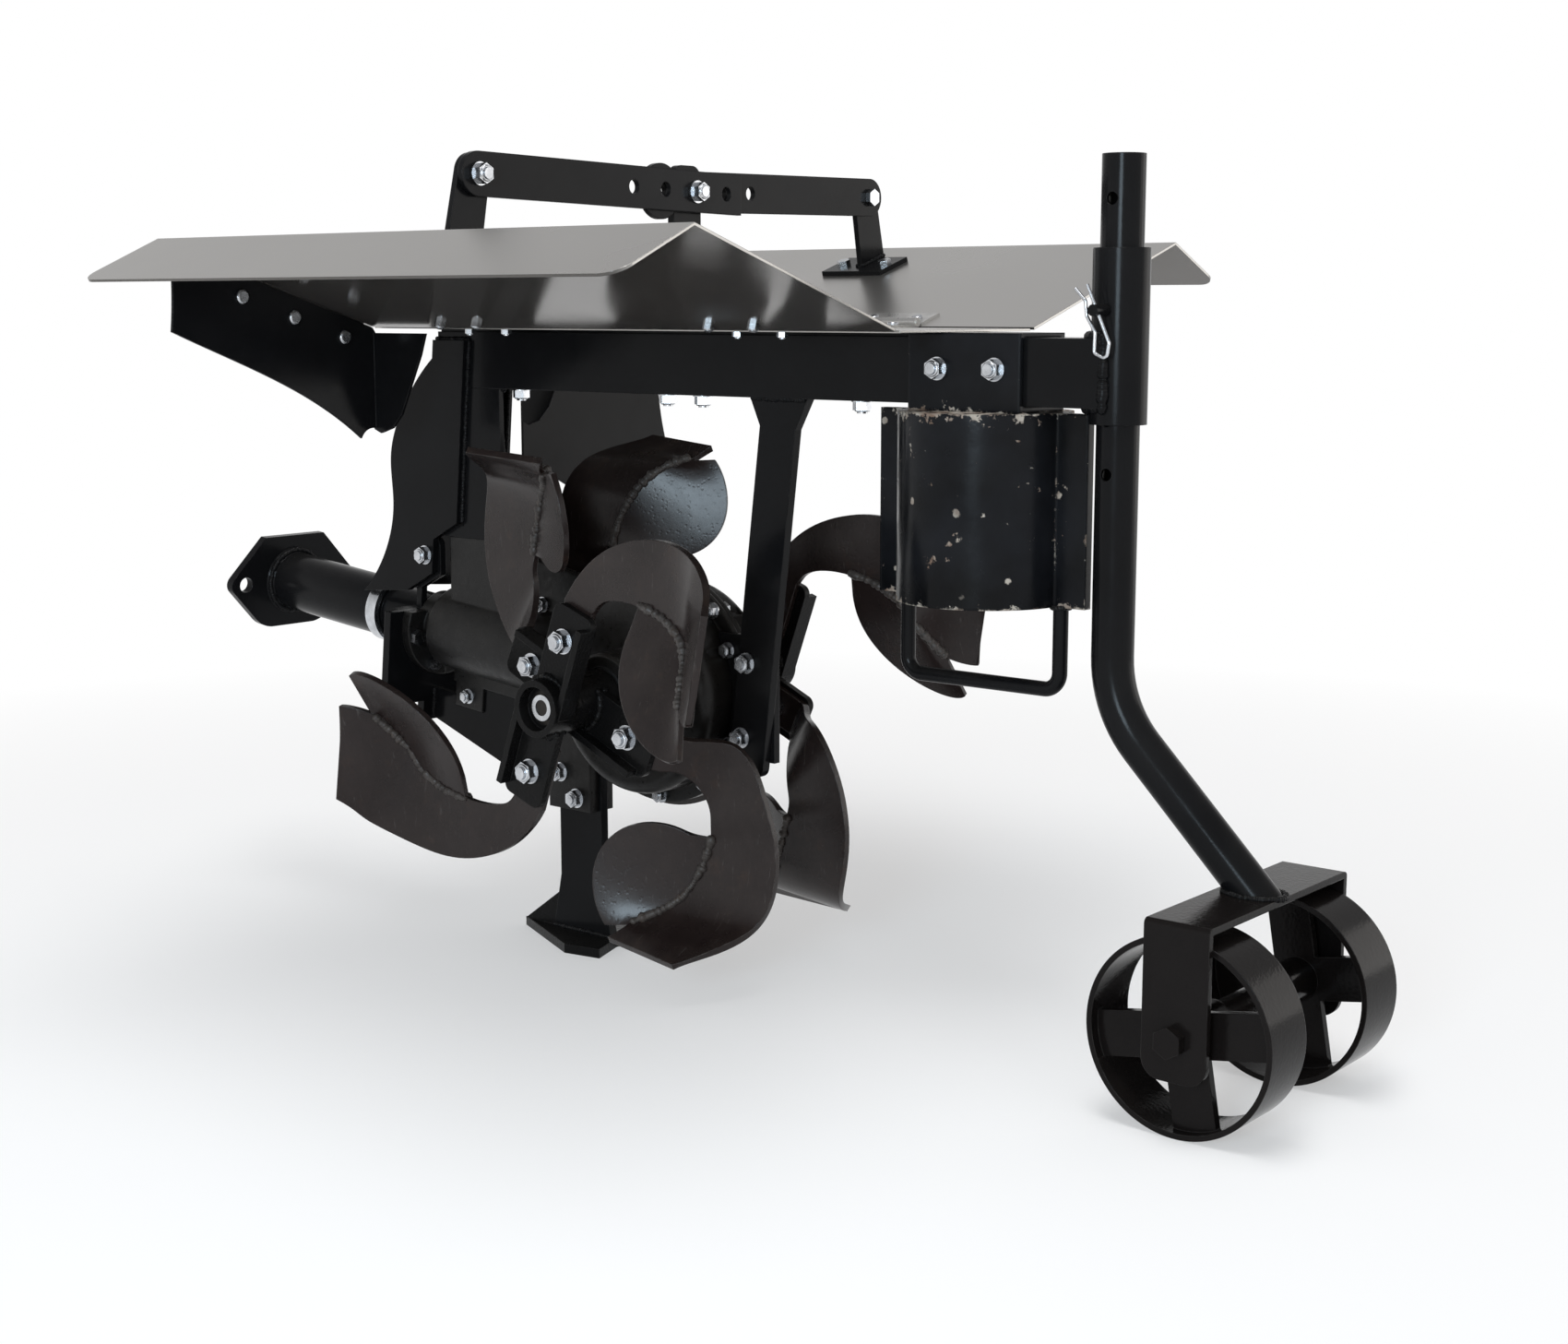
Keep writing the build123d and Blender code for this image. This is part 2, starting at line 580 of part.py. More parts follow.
# Gussets: curved plates either side of beam and post, ending in a pointed foot ahead of the gearbox.
with BuildSketch() as gusset_sketch:
    with BuildLine():
        Polyline((-360, 288), (-311, 288), (-309, 268))
        Spline((-309, 268), (-254, 205), (-237, 160), (-239, 107), (-207, 27), (-184, 4))
        Polyline((-184, 4), (-258, 10), (-300, 32), (-304, 70))
        Polyline((-304, 70), (-342, 90), (-352, 200), (-360, 288))
    make_face()
gusset = side_plate(gusset_sketch.sketch, BEAM_HALF, gusset_out)
gusset -= hole((0, *gusset_bolt), (60, *gusset_bolt), 10)
save("gussets", *both(gusset))

# Deck plate on the beam, carrying the wing hinges.
deck = block(-DECK_HALF, DECK_HALF, DECK_REAR, DECK_FRONT, DECK_BOTTOM, DECK_TOP)
for y in deck_bolts_y + mast_bolts_y:
    deck -= hole((0, y, DECK_BOTTOM - 1), (0, y, DECK_TOP + 1), 10)
hinge_spots = [(centre + step) for centre in HINGE_Y for step in (HINGE_BOLT_HALF, -HINGE_BOLT_HALF)]
for y in hinge_spots:
    for x in (HINGE_X - HINGE_BOLT_OUT, HINGE_BOLT_OUT - HINGE_X):
        deck -= hole((x, y, DECK_BOTTOM - 1), (x, y, DECK_TOP + 1), 6)
save("deck_plate", deck)

# Mast for the links: flat bar on a foot bolted through deck and beam.
mast_foot_top = DECK_TOP + 6
mast = block(-22, 22, mast_y - 42, mast_y + 42, DECK_TOP, mast_foot_top)
mast_bar = block(-20, 20, mast_y - 4, mast_y + 4, mast_foot_top, MAST_Z + 26)
mast += fillet(mast_bar.edges().filter_by(Axis.Y).group_by(Axis.Z)[-1], 12)
mast -= hole((0, mast_y - 5, MAST_Z), (0, mast_y + 5, MAST_Z), 10)
for y in mast_bolts_y:
    mast -= hole((0, y, DECK_TOP - 1), (0, y, mast_foot_top + 1), 10)
save("link_mast", mast)
mast_bolt = rod((0, mast_y + 4, MAST_Z), (0, mast_y - 4, MAST_Z), 5)
mast_bolt += hexagon(16, (0, mast_y + 4, MAST_Z), (0, 1, 0), 6)
save("mast_bolt", mast_bolt)

# Ballast: strap round the beam, round weight with a centre plate, and a bent-rod handle below.
strap_out = BEAM_HALF + 6
clamp_rear = BALLAST_Y - 60
strap = block(-strap_out, strap_out, clamp_rear, clamp_front, BEAM_BOTTOM - 6, DECK_BOTTOM)
strap -= block(-BEAM_HALF, BEAM_HALF, clamp_rear - 1, clamp_front + 1, BEAM_BOTTOM, BEAM_TOP)
for y, z in clamp_bolts:
    strap -= hole((-strap_out - 1, y, z), (strap_out + 1, y, z), 10)
save("ballast_clamp", strap)
ballast_top = BEAM_BOTTOM - 6
weight = rod((0, BALLAST_Y, BALLAST_BOTTOM), (0, BALLAST_Y, ballast_top), BALLAST_R)
weight += block(-5, 5, BALLAST_Y - 112, BALLAST_Y + 115, BALLAST_BOTTOM, ballast_top)
save("ballast_weight", weight)
handle_half = 84.5
handle_z = -18.0
handle_path = FilletPolyline(
    (0, BALLAST_Y - handle_half, BALLAST_BOTTOM), (0, BALLAST_Y - handle_half, handle_z),
    (0, BALLAST_Y + handle_half, handle_z), (0, BALLAST_Y + handle_half, BALLAST_BOTTOM), radius=16,
)
handle = sweep(Plane(origin=handle_path @ 0, z_dir=handle_path % 0) * Circle(7), path=handle_path)
save("ballast_handle", handle)
bolts = [bolt((0, y, DECK_TOP), (0, y, BEAM_BOTTOM), 10) for y in deck_bolts_y]
bolts += [bolt((0, y, mast_foot_top), (0, y, BEAM_BOTTOM), 10) for y in mast_bolts_y]
bolts += [bolt((strap_out, y, z), (-strap_out, y, z), 10) for y, z in clamp_bolts]
save("beam_bolts", *bolts)

# Rear strut and its bracket on the back of the gearbox.
bracket_x = (-SPLIT_HALF - 8, -SPLIT_HALF)
strut_x = (bracket_x[0] - 10, bracket_x[0])
strut_bolts = [(rotor_y - 137, ROTOR.Z + 40), (rotor_y - 130, ROTOR.Z - 36)]
bracket_face = Pos(rotor_y - DRUM_R - 19, ROTOR.Z + 3) * Rectangle(74, 126)
bracket_face -= Pos(rotor_y, ROTOR.Z) * Circle(DRUM_R + 0.5)
bracket = side_plate(bracket_face, *bracket_x)
strut_face = outline(
    (rotor_y - 214, BEAM_BOTTOM), (rotor_y - 142, BEAM_BOTTOM), (rotor_y - 154, BEAM_BOTTOM - 27),
    (rotor_y - 112, ROTOR.Z - 70), (rotor_y - 156, ROTOR.Z - 76), (rotor_y - 198, BEAM_BOTTOM - 30),
)
strut_face = fillet(strut_face.vertices().sort_by(Axis.Y)[:2], 10)
strut = side_plate(strut_face, *strut_x)
for y, z in strut_bolts:
    bracket -= hole((-40, y, z), (0, y, z), 10)
    strut -= hole((-40, y, z), (0, y, z), 10)
for y, z in bracket_bolts:
    bracket -= hole((-40, y, z), (0, y, z), 8)
save("rear_bracket", bracket.solids().sort_by(SortBy.VOLUME)[-1])
save("rear_strut", strut)

# Share: shank between the gearbox lugs, with a pointed sole.
sole_top = FLOOR + 10
shank_back, shank_front = share_y[0] - 4, share_y[1] - 4
shank_face = outline(
    (shank_back, -154), (shank_front, -154), (shank_front, -290),
    (shank_front + 12, sole_top), (shank_back - 12, sole_top), (shank_back, -290),
)
shank = side_plate(shank_face, -share_in, share_in)
for y, z in share_bolts:
    shank -= hole((-10, y, z), (10, y, z), 10)
save("share_shank", shank)
nose_y = shank_front + 62
point_face = outline(
    (0, nose_y), (52, nose_y - 112), (44, nose_y - 156),
    (0, nose_y - 140), (-44, nose_y - 156), (-52, nose_y - 112),
)
point = extrude(Pos(0, 0, FLOOR) * point_face, amount=sole_top - FLOOR)
nose = outline((nose_y - 4, sole_top), (shank_front, sole_top + 42), (shank_front + 4, sole_top))
save("share_point", point + side_plate(nose, -4, 4) - shank)

# Lower stay: web plate from the front plate to the share shank, close under the split flange.
stay_points = [
    drive(plate_rear, -76), drive(plate_rear, -110), Vector(0, shank_front, -211),
    Vector(0, shank_front, -156), Vector(0, share_y[1] + 1, -156), Vector(0, share_y[1] + 1, -111),
    drive(lobe[1] + 1, -EAR_HALF - 1), drive(lobe[1] + 1, -lobe_low - 1),
    drive(lobe[0] - 1, -lobe_low - 1), drive(lobe[0] - 1, -76),
]
stay_face = outline(*[(point.Y, point.Z) for point in stay_points])
save("lower_stay", side_plate(stay_face, -4, 4))

# Fixings of the frame and of the gearbox.
fixings = [bolt((lug_in, *gusset_bolt), (gusset_out, *gusset_bolt), 10)]
fixings.append(mirrored(fixings[0]))
fixings += [bolt((bracket_x[1], y, z), (strut_x[0], y, z), 10) for y, z in strut_bolts]
fixings += [bolt((share_out, y, z), (-share_out, y, z), 10) for y, z in share_bolts]
fixings += [bolt(drive(joint_rear, rise, x), drive(joint_front, rise, x), 10) for x, rise in joint_bolts]
save("frame_bolts", *fixings)
case_bolts = []
for spot in split_bolts:
    left = bracket_x[0] if spot in bracket_bolts else -SPLIT_HALF
    case_bolts.append(bolt((SPLIT_HALF, *spot), (left, *spot), 8))
save("gearbox_bolts", *case_bolts)

# Hinges: leaves bolted to the deck hold the pins; the wing leaves turn on them.
leaf_z = (DECK_TOP, DECK_TOP + SHEET)
knuckle_half = HINGE_HALF / 2 - 0.15
deck_leaves = []
deck_fixings = []
for centre in HINGE_Y:
    leaf = block(HINGE_X - 38, HINGE_X - 5.6, centre - HINGE_HALF, centre + HINGE_HALF, *leaf_z)
    for y0, y1 in ((-HINGE_HALF, -HINGE_HALF / 2), (HINGE_HALF / 2, HINGE_HALF)):
        leaf += block(HINGE_X - 6, HINGE_X, centre + y0, centre + y1, *leaf_z)
        leaf += rod((HINGE_X, centre + y0, HINGE_Z), (HINGE_X, centre + y1, HINGE_Z), HINGE_R)
    pin_half = HINGE_HALF + 2
    pin = rod((HINGE_X, centre - pin_half, HINGE_Z), (HINGE_X, centre + pin_half, HINGE_Z), PIN_R)
    leaf -= pin
    for y in (centre - HINGE_BOLT_HALF, centre + HINGE_BOLT_HALF):
        x = HINGE_X - HINGE_BOLT_OUT
        leaf -= hole((x, y, DECK_TOP - 1), (x, y, leaf_z[1] + 1), 6)
        deck_fixings += both(button_bolt((x, y, leaf_z[1]), (x, y, DECK_BOTTOM), 6))
    deck_leaves += both(leaf) + both(pin)
save("hinge_deck_leaves", *deck_leaves)
save("hinge_deck_bolts", *deck_fixings)

# Wings: drawn flat with the hinge axis on Y, then raised to their working slope.
raised = Pos(HINGE_X, 0, HINGE_Z) * Rot(0, -WING_SLOPE, 0)
sheet_top = -HINGE_R
sheet_low = -HINGE_R - SHEET
bend = radians(LIP_BEND)
lip_x = WING_LENGTH + LIP_LENGTH * cos(bend)
lip_z = sheet_top - LIP_LENGTH * sin(bend)
sheet_face = outline(
    (3, sheet_top), (WING_LENGTH, sheet_top), (lip_x, lip_z),
    (lip_x - SHEET * sin(bend), lip_z - SHEET * cos(bend)),
    (WING_LENGTH - SHEET * tan(bend / 2), sheet_low), (3, sheet_low),
)
shield_bolts = (174.0, 106.0, 38.0)
shield_front = DECK_FRONT - SHEET
shield_back = shield_front - SHIELD_THICK
bolt_drop = sheet_low - 22
foot_mid = 200.0
foot_half = 26.0
wing_tilt = radians(WING_SLOPE)
pivot_u = (PIVOT_X - HINGE_X) * cos(wing_tilt) + (PIVOT_Z - HINGE_Z) * sin(wing_tilt)
pivot_v = (PIVOT_Z - HINGE_Z) * cos(wing_tilt) - (PIVOT_X - HINGE_X) * sin(wing_tilt)
foot_spots = (mast_y - 28, mast_y + 28)
sheet = cross_plate(sheet_face, DECK_FRONT, DECK_REAR)
short_edges = sheet.edges().filter_by(lambda edge: abs(edge.length - SHEET) < 0.01)
sheet = fillet(short_edges.filter_by(lambda edge: edge.center().X > lip_x - 5), 20)
sheet += block(14, WING_LENGTH - 17, shield_front, DECK_FRONT, bolt_drop - 10, sheet_low)
wing_leaves = []
wing_fixings = []
for centre in HINGE_Y:
    leaf = block(5.6, 38, centre - HINGE_HALF, centre + HINGE_HALF, sheet_top, sheet_top + SHEET)
    leaf += block(0, 6, centre - knuckle_half, centre + knuckle_half, sheet_top, sheet_top + SHEET)
    leaf += rod((0, centre - knuckle_half, 0), (0, centre + knuckle_half, 0), HINGE_R)
    leaf -= rod((0, centre - 50, 0), (0, centre + 50, 0), PIN_R + RUNNING)
    for y in (centre - HINGE_BOLT_HALF, centre + HINGE_BOLT_HALF):
        cut = hole((HINGE_BOLT_OUT, y, sheet_low - 1), (HINGE_BOLT_OUT, y, sheet_top + SHEET + 1), 6)
        leaf -= cut
        sheet -= cut
        leaf_bolt = button_bolt((HINGE_BOLT_OUT, y, sheet_top + SHEET), (HINGE_BOLT_OUT, y, sheet_low), 6)
        wing_fixings.append(leaf_bolt)
    wing_leaves.append(raised * leaf)
foot_plate = block(foot_mid - foot_half, foot_mid + foot_half, mast_y - 40, mast_y + 40, sheet_top, 0)
for y in foot_spots:
    cut = hole((foot_mid, y, sheet_low - 1), (foot_mid, y, 1), 8)
    foot_plate -= cut
    sheet -= cut
    wing_fixings.append(bolt((foot_mid, y, 0), (foot_mid, y, sheet_low), 8))
for u in shield_bolts:
    sheet -= hole((u, shield_front - 1, bolt_drop), (u, DECK_FRONT + 1, bolt_drop), 8)
    wing_fixings.append(button_bolt((u, shield_back, bolt_drop), (u, DECK_FRONT, bolt_drop), 8))


def link_foot(y0, y1):
    """Foot with an upright that carries the link pivot."""
    upright = outline((190, -1), (232, -1), (pivot_u + 19, pivot_v), (pivot_u - 19, pivot_v))
    upright += Pos(pivot_u, pivot_v) * Circle(19)
    body = foot_plate + (cross_plate(upright, y1, y0) & block(0, 400, y0, y1, 0, 200))
    return raised * (body - hole((pivot_u, y0 - 1, pivot_v), (pivot_u, y1 + 1, pivot_v), 10))


def under_wing(x):
    """Height of the wing's underside."""
    return HINGE_Z + (x - HINGE_X) * tan(wing_tilt) + sheet_low / cos(wing_tilt)


fold = HINGE_X + 2
edge_x = HINGE_X + (WING_LENGTH - 9) * cos(wing_tilt)
edge_z = under_wing(edge_x) - 1
with BuildSketch() as shield_sketch:
    with BuildLine():
        Polyline((fold, 194), (fold, 296), (fold + 4, under_wing(fold + 4) - 1), (edge_x, edge_z))
        ThreePointArc((edge_x, edge_z), (edge_x - 1, edge_z - 41), (edge_x + 2, edge_z - 83))
        Spline((edge_x + 2, edge_z - 83), (238, 248), (170, 213), (130, 185))
        ThreePointArc((130, 185), (123, 193), (fold, 194))
    make_face()
with BuildSketch() as apron_sketch:
    with BuildLine():
        Polyline((fold, 152), (fold, 296), (fold + 4, under_wing(fold + 4) - 1), (edge_x, edge_z))
        ThreePointArc((edge_x, edge_z), (337, 220), (366, 118))
        Polyline((366, 118), (340, 105), (200, 105), (fold, 152))
    make_face()
return_face = outline(
    (shield_front, 194), (shield_front, 296), (-380, 296), (-372, 274),
    (-340, 211), (-325, 196), (-306, 190),
)


def shield(face):
    """Shield of the right-hand wing: a plate across the machine with a return along the hinge."""
    body = cross_plate(face, shield_front, shield_back) + side_plate(return_face, fold, fold + SHIELD_THICK)
    for u in shield_bolts:
        body -= raised * hole((u, shield_back - 1, bolt_drop), (u, shield_front + 1, bolt_drop), 8)
    return body


sheet = raised * sheet
wing_fixings = [raised * item for item in wing_fixings]

# Link layers from the rear: left bar, right bar level with the left upright, mast level with the
# right upright.
middle_layer = (LINK_Y + LINK_GAP, LINK_Y + LINK_GAP + LINK_THICK)
front_layer = (middle_layer[1] + LINK_GAP, middle_layer[1] + LINK_GAP + LINK_THICK)
pivot_play = 5 + RUNNING
pivot_rear = middle_layer[0] - LINK_GAP
right_pivot = bolt((PIVOT_X, pivot_rear, PIVOT_Z), (PIVOT_X, front_layer[1], PIVOT_Z), 10)
pivot_rear = LINK_BACK - LINK_GAP
left_pivot = bolt((-PIVOT_X, middle_layer[1], PIVOT_Z), (-PIVOT_X, pivot_rear, PIVOT_Z), 10)
save("wing_right", sheet)
save("wing_left", mirrored(sheet))
save("hinge_leaves_right", *wing_leaves)
save("hinge_leaves_left", *[mirrored(item) for item in wing_leaves])
save("link_foot_right", link_foot(*front_layer))
save("link_foot_left", mirrored(link_foot(*middle_layer)))
save("shield_right", shield(apron_sketch.sketch))
save("shield_left", mirrored(shield(shield_sketch.sketch)))
save("wing_bolts_right", *wing_fixings, right_pivot)
save("wing_bolts_left", *[mirrored(item) for item in wing_fixings], left_pivot)


def link(inner_end, layer, holes, eye):
    """Adjusting bar drawn for the right-hand side, from the pivot to its inner end."""
    rise = atan2(PIVOT_Z - MAST_Z, PIVOT_X)
    reach = PIVOT_X - inner_end
    face = Pos(-reach / 2, 0) * Rectangle(reach, LINK_WIDTH) + Circle(LINK_WIDTH / 2)
    if eye:
        face += Pos(-reach, 0) * Circle(27)
    face -= Circle(pivot_play)
    for x in holes:
        face -= Pos(x - PIVOT_X, 0) * Circle(7)
    bar = extrude(Plane.XZ * face, amount=layer[1] - layer[0])
    return Pos(PIVOT_X, layer[1], PIVOT_Z) * Rot(0, -degrees(rise), 0) * bar


save("link_right", link(-LINK_PITCH, middle_layer, (0, LINK_PITCH, 2 * LINK_PITCH, -LINK_PITCH), True))
left_layer = (LINK_BACK, LINK_Y)
left_bar = link(-68, left_layer, (0, LINK_PITCH, 2 * LINK_PITCH, -LINK_PITCH), False)
save("link_left", mirrored(left_bar))
mast_nut = rod((0, LINK_Y, MAST_Z), (0, LINK_BACK - 12, MAST_Z), 5)
mast_nut += rod((0, LINK_BACK, MAST_Z), (0, LINK_BACK - 2, MAST_Z), 11)
save("mast_nut", mast_nut + hexagon(16, (0, LINK_BACK - 2, MAST_Z), (0, -1, 0), 8))

# Post sleeve with the lock pin and its spring clip.
sleeve_bore = POST_R + 0.3
sleeve = rod((0, POST_Y, SLEEVE_BOTTOM), (0, POST_Y, SLEEVE_TOP), SLEEVE_R)
sleeve -= rod((0, POST_Y, SLEEVE_BOTTOM - 1), (0, POST_Y, SLEEVE_TOP + 1), sleeve_bore)
sleeve -= rod((-40, POST_Y, PIN_Z), (40, POST_Y, PIN_Z), 5)
save("post_sleeve", sleeve)
pin_reach = sleeve_bore + 0.2
pin_near = rod((-pin_reach, POST_Y, PIN_Z), (-46, POST_Y, PIN_Z), 5)
clip_x = -39.0
clip_tilt = radians(65)
clip_leg = Vector(0, cos(clip_tilt), sin(clip_tilt))
clip_side = Vector(0, sin(clip_tilt), -cos(clip_tilt))
pin_centre = Vector(clip_x, POST_Y, PIN_Z)
pin_near -= rod(pin_centre - clip_leg * 9, pin_centre + clip_leg * 9, 1.6)
pin_far = rod((pin_reach, POST_Y, PIN_Z), (34, POST_Y, PIN_Z), 5)
pin_far += rod((SLEEVE_R, POST_Y, PIN_Z), (SLEEVE_R + 7, POST_Y, PIN_Z), 9)
save("lock_pin", pin_near, pin_far)
clip_points = [(24, 0), (-30, 0), (-42, 8), (-32, 17), (-16, 9), (0, 11), (12, 7), (26, 12)]
clip_path = FilletPolyline(*[pin_centre + clip_leg * a + clip_side * b for a, b in clip_points], radius=4)
clip = sweep(Plane(origin=clip_path @ 0, z_dir=clip_path % 0) * Circle(1.5), path=clip_path)
save("pin_clip", clip)

# Gauge post: drilled tube, leaning back below, with its fork, axle and wheels.
lean = radians(POST_LEAN)
fork_y = (AXLE_Y - 32, AXLE_Y + 29)
fork_mid = POST_Y - 146.0
corner_z = FORK_TOP + (POST_Y - fork_mid) / tan(lean)
end_z = FORK_TOP - 30
post_path = FilletPolyline(
    (0, POST_Y, POST_TOP), (0, POST_Y, corner_z),
    (0, POST_Y - (corner_z - end_z) * tan(lean), end_z), radius=110,
)
start_plane = Plane(origin=post_path @ 0, z_dir=post_path % 0)
gauge_post = sweep(start_plane * Circle(POST_R), path=post_path)
gauge_post -= sweep(start_plane * Circle(POST_R - 4), path=post_path)
gauge_post -= block(-60, 60, POST_Y - 300, POST_Y, FORK_TOP - 90, FORK_TOP)
for i in range(POST_HOLES):
    z = PIN_Z + (2 - i) * POST_PITCH
    gauge_post -= rod((-30, POST_Y, z), (30, POST_Y, z), 5.5)
save("gauge_post", gauge_post)
fork_low = AXLE_Z - 36
leg_face = outline(
    (fork_y[0], FORK_TOP), (fork_y[1], FORK_TOP), (fork_y[1], fork_low), (fork_y[0], fork_low),
)
leg_face = fillet(leg_face.vertices().sort_by(Axis.Y)[:2], 18)
fork = block(-FORK_HALF, FORK_HALF, *fork_y, FORK_TOP - FORK_THICK, FORK_TOP)
for leg in both(side_plate(leg_face, FORK_HALF - FORK_THICK, FORK_HALF)):
    fork += leg
fork = fillet(fork.edges().filter_by(Axis.Y).group_by(Axis.Z)[-1], 5)
fork -= rod((-200, AXLE_Y, AXLE_Z), (200, AXLE_Y, AXLE_Z), AXLE_R)
save("wheel_fork", fork)
axle = rod((-FORK_HALF, AXLE_Y, AXLE_Z), (FORK_HALF + 18, AXLE_Y, AXLE_Z), AXLE_R)
axle += hexagon(24, (-FORK_HALF, AXLE_Y, AXLE_Z), (-1, 0, 0), 10)
axle += hexagon(24, (FORK_HALF, AXLE_Y, AXLE_Z), (1, 0, 0), 14)
gap_half = WHEEL_X - WHEEL_WIDTH / 2 - 0.5
axle += rod((-gap_half, AXLE_Y, AXLE_Z), (gap_half, AXLE_Y, AXLE_Z), 14)
save("wheel_axle", axle)


def turned(x, radius, half):
    """Round bar on the axle."""
    return rod((x - half, AXLE_Y, AXLE_Z), (x + half, AXLE_Y, AXLE_Z), radius)


def wheel(side):
    """Steel wheel: rim tube, hub and four flat spokes near the outer face; side is -1 or +1."""
    x = side * WHEEL_X
    half = WHEEL_WIDTH / 2
    spoke_x = x + side * (half - 14)
    body = turned(x, WHEEL_R, half) - turned(x, WHEEL_R - 5, half + 1)
    for angle in (-10, 80):
        body += Pos(spoke_x, AXLE_Y, AXLE_Z) * Rot(angle, 0, 0) * Box(8, 2 * WHEEL_R - 6, 40)
    body += turned(x, 20, half)
    return body - turned(x, AXLE_R + RUNNING, half + 5)


save("wheel_left", wheel(-1))
save("wheel_right", wheel(1))
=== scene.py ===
import math

import bmesh
import bpy
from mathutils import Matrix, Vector


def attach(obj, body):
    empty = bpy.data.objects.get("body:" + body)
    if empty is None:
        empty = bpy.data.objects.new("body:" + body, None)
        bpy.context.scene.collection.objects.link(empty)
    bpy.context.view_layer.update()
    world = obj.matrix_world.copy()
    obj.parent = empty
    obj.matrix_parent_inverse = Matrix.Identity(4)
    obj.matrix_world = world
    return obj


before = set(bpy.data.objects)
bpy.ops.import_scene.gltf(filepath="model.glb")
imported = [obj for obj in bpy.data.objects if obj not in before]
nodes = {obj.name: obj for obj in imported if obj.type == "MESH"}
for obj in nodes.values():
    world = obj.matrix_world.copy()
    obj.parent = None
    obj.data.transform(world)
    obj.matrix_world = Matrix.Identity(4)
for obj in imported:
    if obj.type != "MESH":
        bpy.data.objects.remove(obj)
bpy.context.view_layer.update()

# Drive tube: a steel tube with a lozenge flange for the tractor, welded up and
# sprayed with gloss black enamel that has rubbed thin on its corners.


def place(tree, kind, settings=None, **inputs):
    """Add a node; inputs are values or sockets, with underscores for spaces."""
    made = tree.nodes.new(kind)
    for key, value in (settings or {}).items():
        setattr(made, key, value)
    for key, value in inputs.items():
        feed(tree, made.inputs[key.replace("_", " ")], value)
    return made


def feed(tree, socket, value):
    """Link a socket to another, or set it to a value."""
    if isinstance(value, bpy.types.NodeSocket):
        tree.links.new(value, socket)
    else:
        socket.default_value = value


def shade(tree, factor, first, second):
    """Mix two colours by a factor."""
    made = place(tree, "ShaderNodeMix", {"data_type": "RGBA"})
    feed(tree, made.inputs[0], factor)
    for number, colour in ((6, first), (7, second)):
        plain = not isinstance(colour, bpy.types.NodeSocket)
        feed(tree, made.inputs[number], (*colour, 1.0) if plain else colour)
    return made.outputs[2]


def sums(tree, operation, first, second=0.0, clamp=False):
    """One arithmetic step."""
    made = tree.nodes.new("ShaderNodeMath")
    made.operation = operation
    made.use_clamp = clamp
    feed(tree, made.inputs[0], first)
    feed(tree, made.inputs[1], second)
    return made.outputs[0]


def stretch(tree, value, low, high, to_low=0.0, to_high=1.0):
    """Spread a range of values over another, held at its ends."""
    made = place(tree, "ShaderNodeMapRange", None, Value=value,
                 From_Min=low, From_Max=high, To_Min=to_low, To_Max=to_high)
    return made.outputs[0]


def where(tree):
    """Place on the piece, in metres of the machine's frame."""
    return place(tree, "ShaderNodeTexCoord").outputs["Object"]


def cloud(tree, spot, scale, detail=4.0, roughness=0.6):
    """Soft noise over the piece."""
    made = place(tree, "ShaderNodeTexNoise", None, Vector=spot, Scale=scale,
                 Detail=detail, Roughness=roughness)
    return made.outputs["Fac"]


def relief(tree, shader, height, strength, depth, under=None):
    """Fine bumps on a surface, over another normal if there is one."""
    made = place(tree, "ShaderNodeBump", None, Strength=strength, Distance=depth, Height=height)
    if under:
        tree.links.new(under, made.inputs["Normal"])
    tree.links.new(made.outputs["Normal"], shader.inputs["Normal"])


def effect(name, wanted, given):
    """Start a shader node group with named inputs and outputs."""
    tree = bpy.data.node_groups.new(name, "ShaderNodeTree")
    for label, value in wanted:
        socket = tree.interface.new_socket(name=label, in_out="INPUT", socket_type="NodeSocketFloat")
        socket.default_value = value
    for label, kind in given:
        tree.interface.new_socket(name=label, in_out="OUTPUT", socket_type="NodeSocket" + kind)
    return tree, tree.nodes.new("NodeGroupInput").outputs, tree.nodes.new("NodeGroupOutput").inputs


def use(tree, group, **values):
    """Place a node group in a material with its own values."""
    made = tree.nodes.new("ShaderNodeGroup")
    made.node_tree = group
    for key, value in values.items():
        made.inputs[key.replace("_", " ")].default_value = value
    return made.outputs


def new_finish(name):
    """An empty material with its Principled shader."""
    material = bpy.data.materials.new(name)
    material.use_nodes = True
    return material, material.node_tree, material.node_tree.nodes["Principled BSDF"]


def coat_nodes(material, *names):
    """Give CAD nodes a finish."""
    for name in names:
        mesh = nodes[name].data
        mesh.materials.clear()
        mesh.materials.append(material)


rubbed_edges, wants, gives = effect(
    "rubbed edges", [("Radius", 0.002), ("Gain", 3.0), ("Patch Scale", 40.0)],
    [("Mask", "Float"), ("Normal", "Vector")],
)
tree = rubbed_edges
rounded = place(tree, "ShaderNodeBevel", {"samples": 6}, Radius=wants["Radius"])
flat = place(tree, "ShaderNodeNewGeometry")
facing = place(tree, "ShaderNodeVectorMath", {"operation": "DOT_PRODUCT"})
tree.links.new(rounded.outputs[0], facing.inputs[0])
tree.links.new(flat.outputs["Normal"], facing.inputs[1])
turned = sums(tree, "SUBTRACT", 1.0, facing.outputs["Value"])
corner = sums(tree, "MULTIPLY", turned, wants["Gain"], True)
patchy = stretch(tree, cloud(tree, where(tree), wants["Patch Scale"], 5.0, 0.65), 0.42, 0.62)
tree.links.new(sums(tree, "MULTIPLY", corner, patchy, True), gives["Mask"])
tree.links.new(rounded.outputs[0], gives["Normal"])

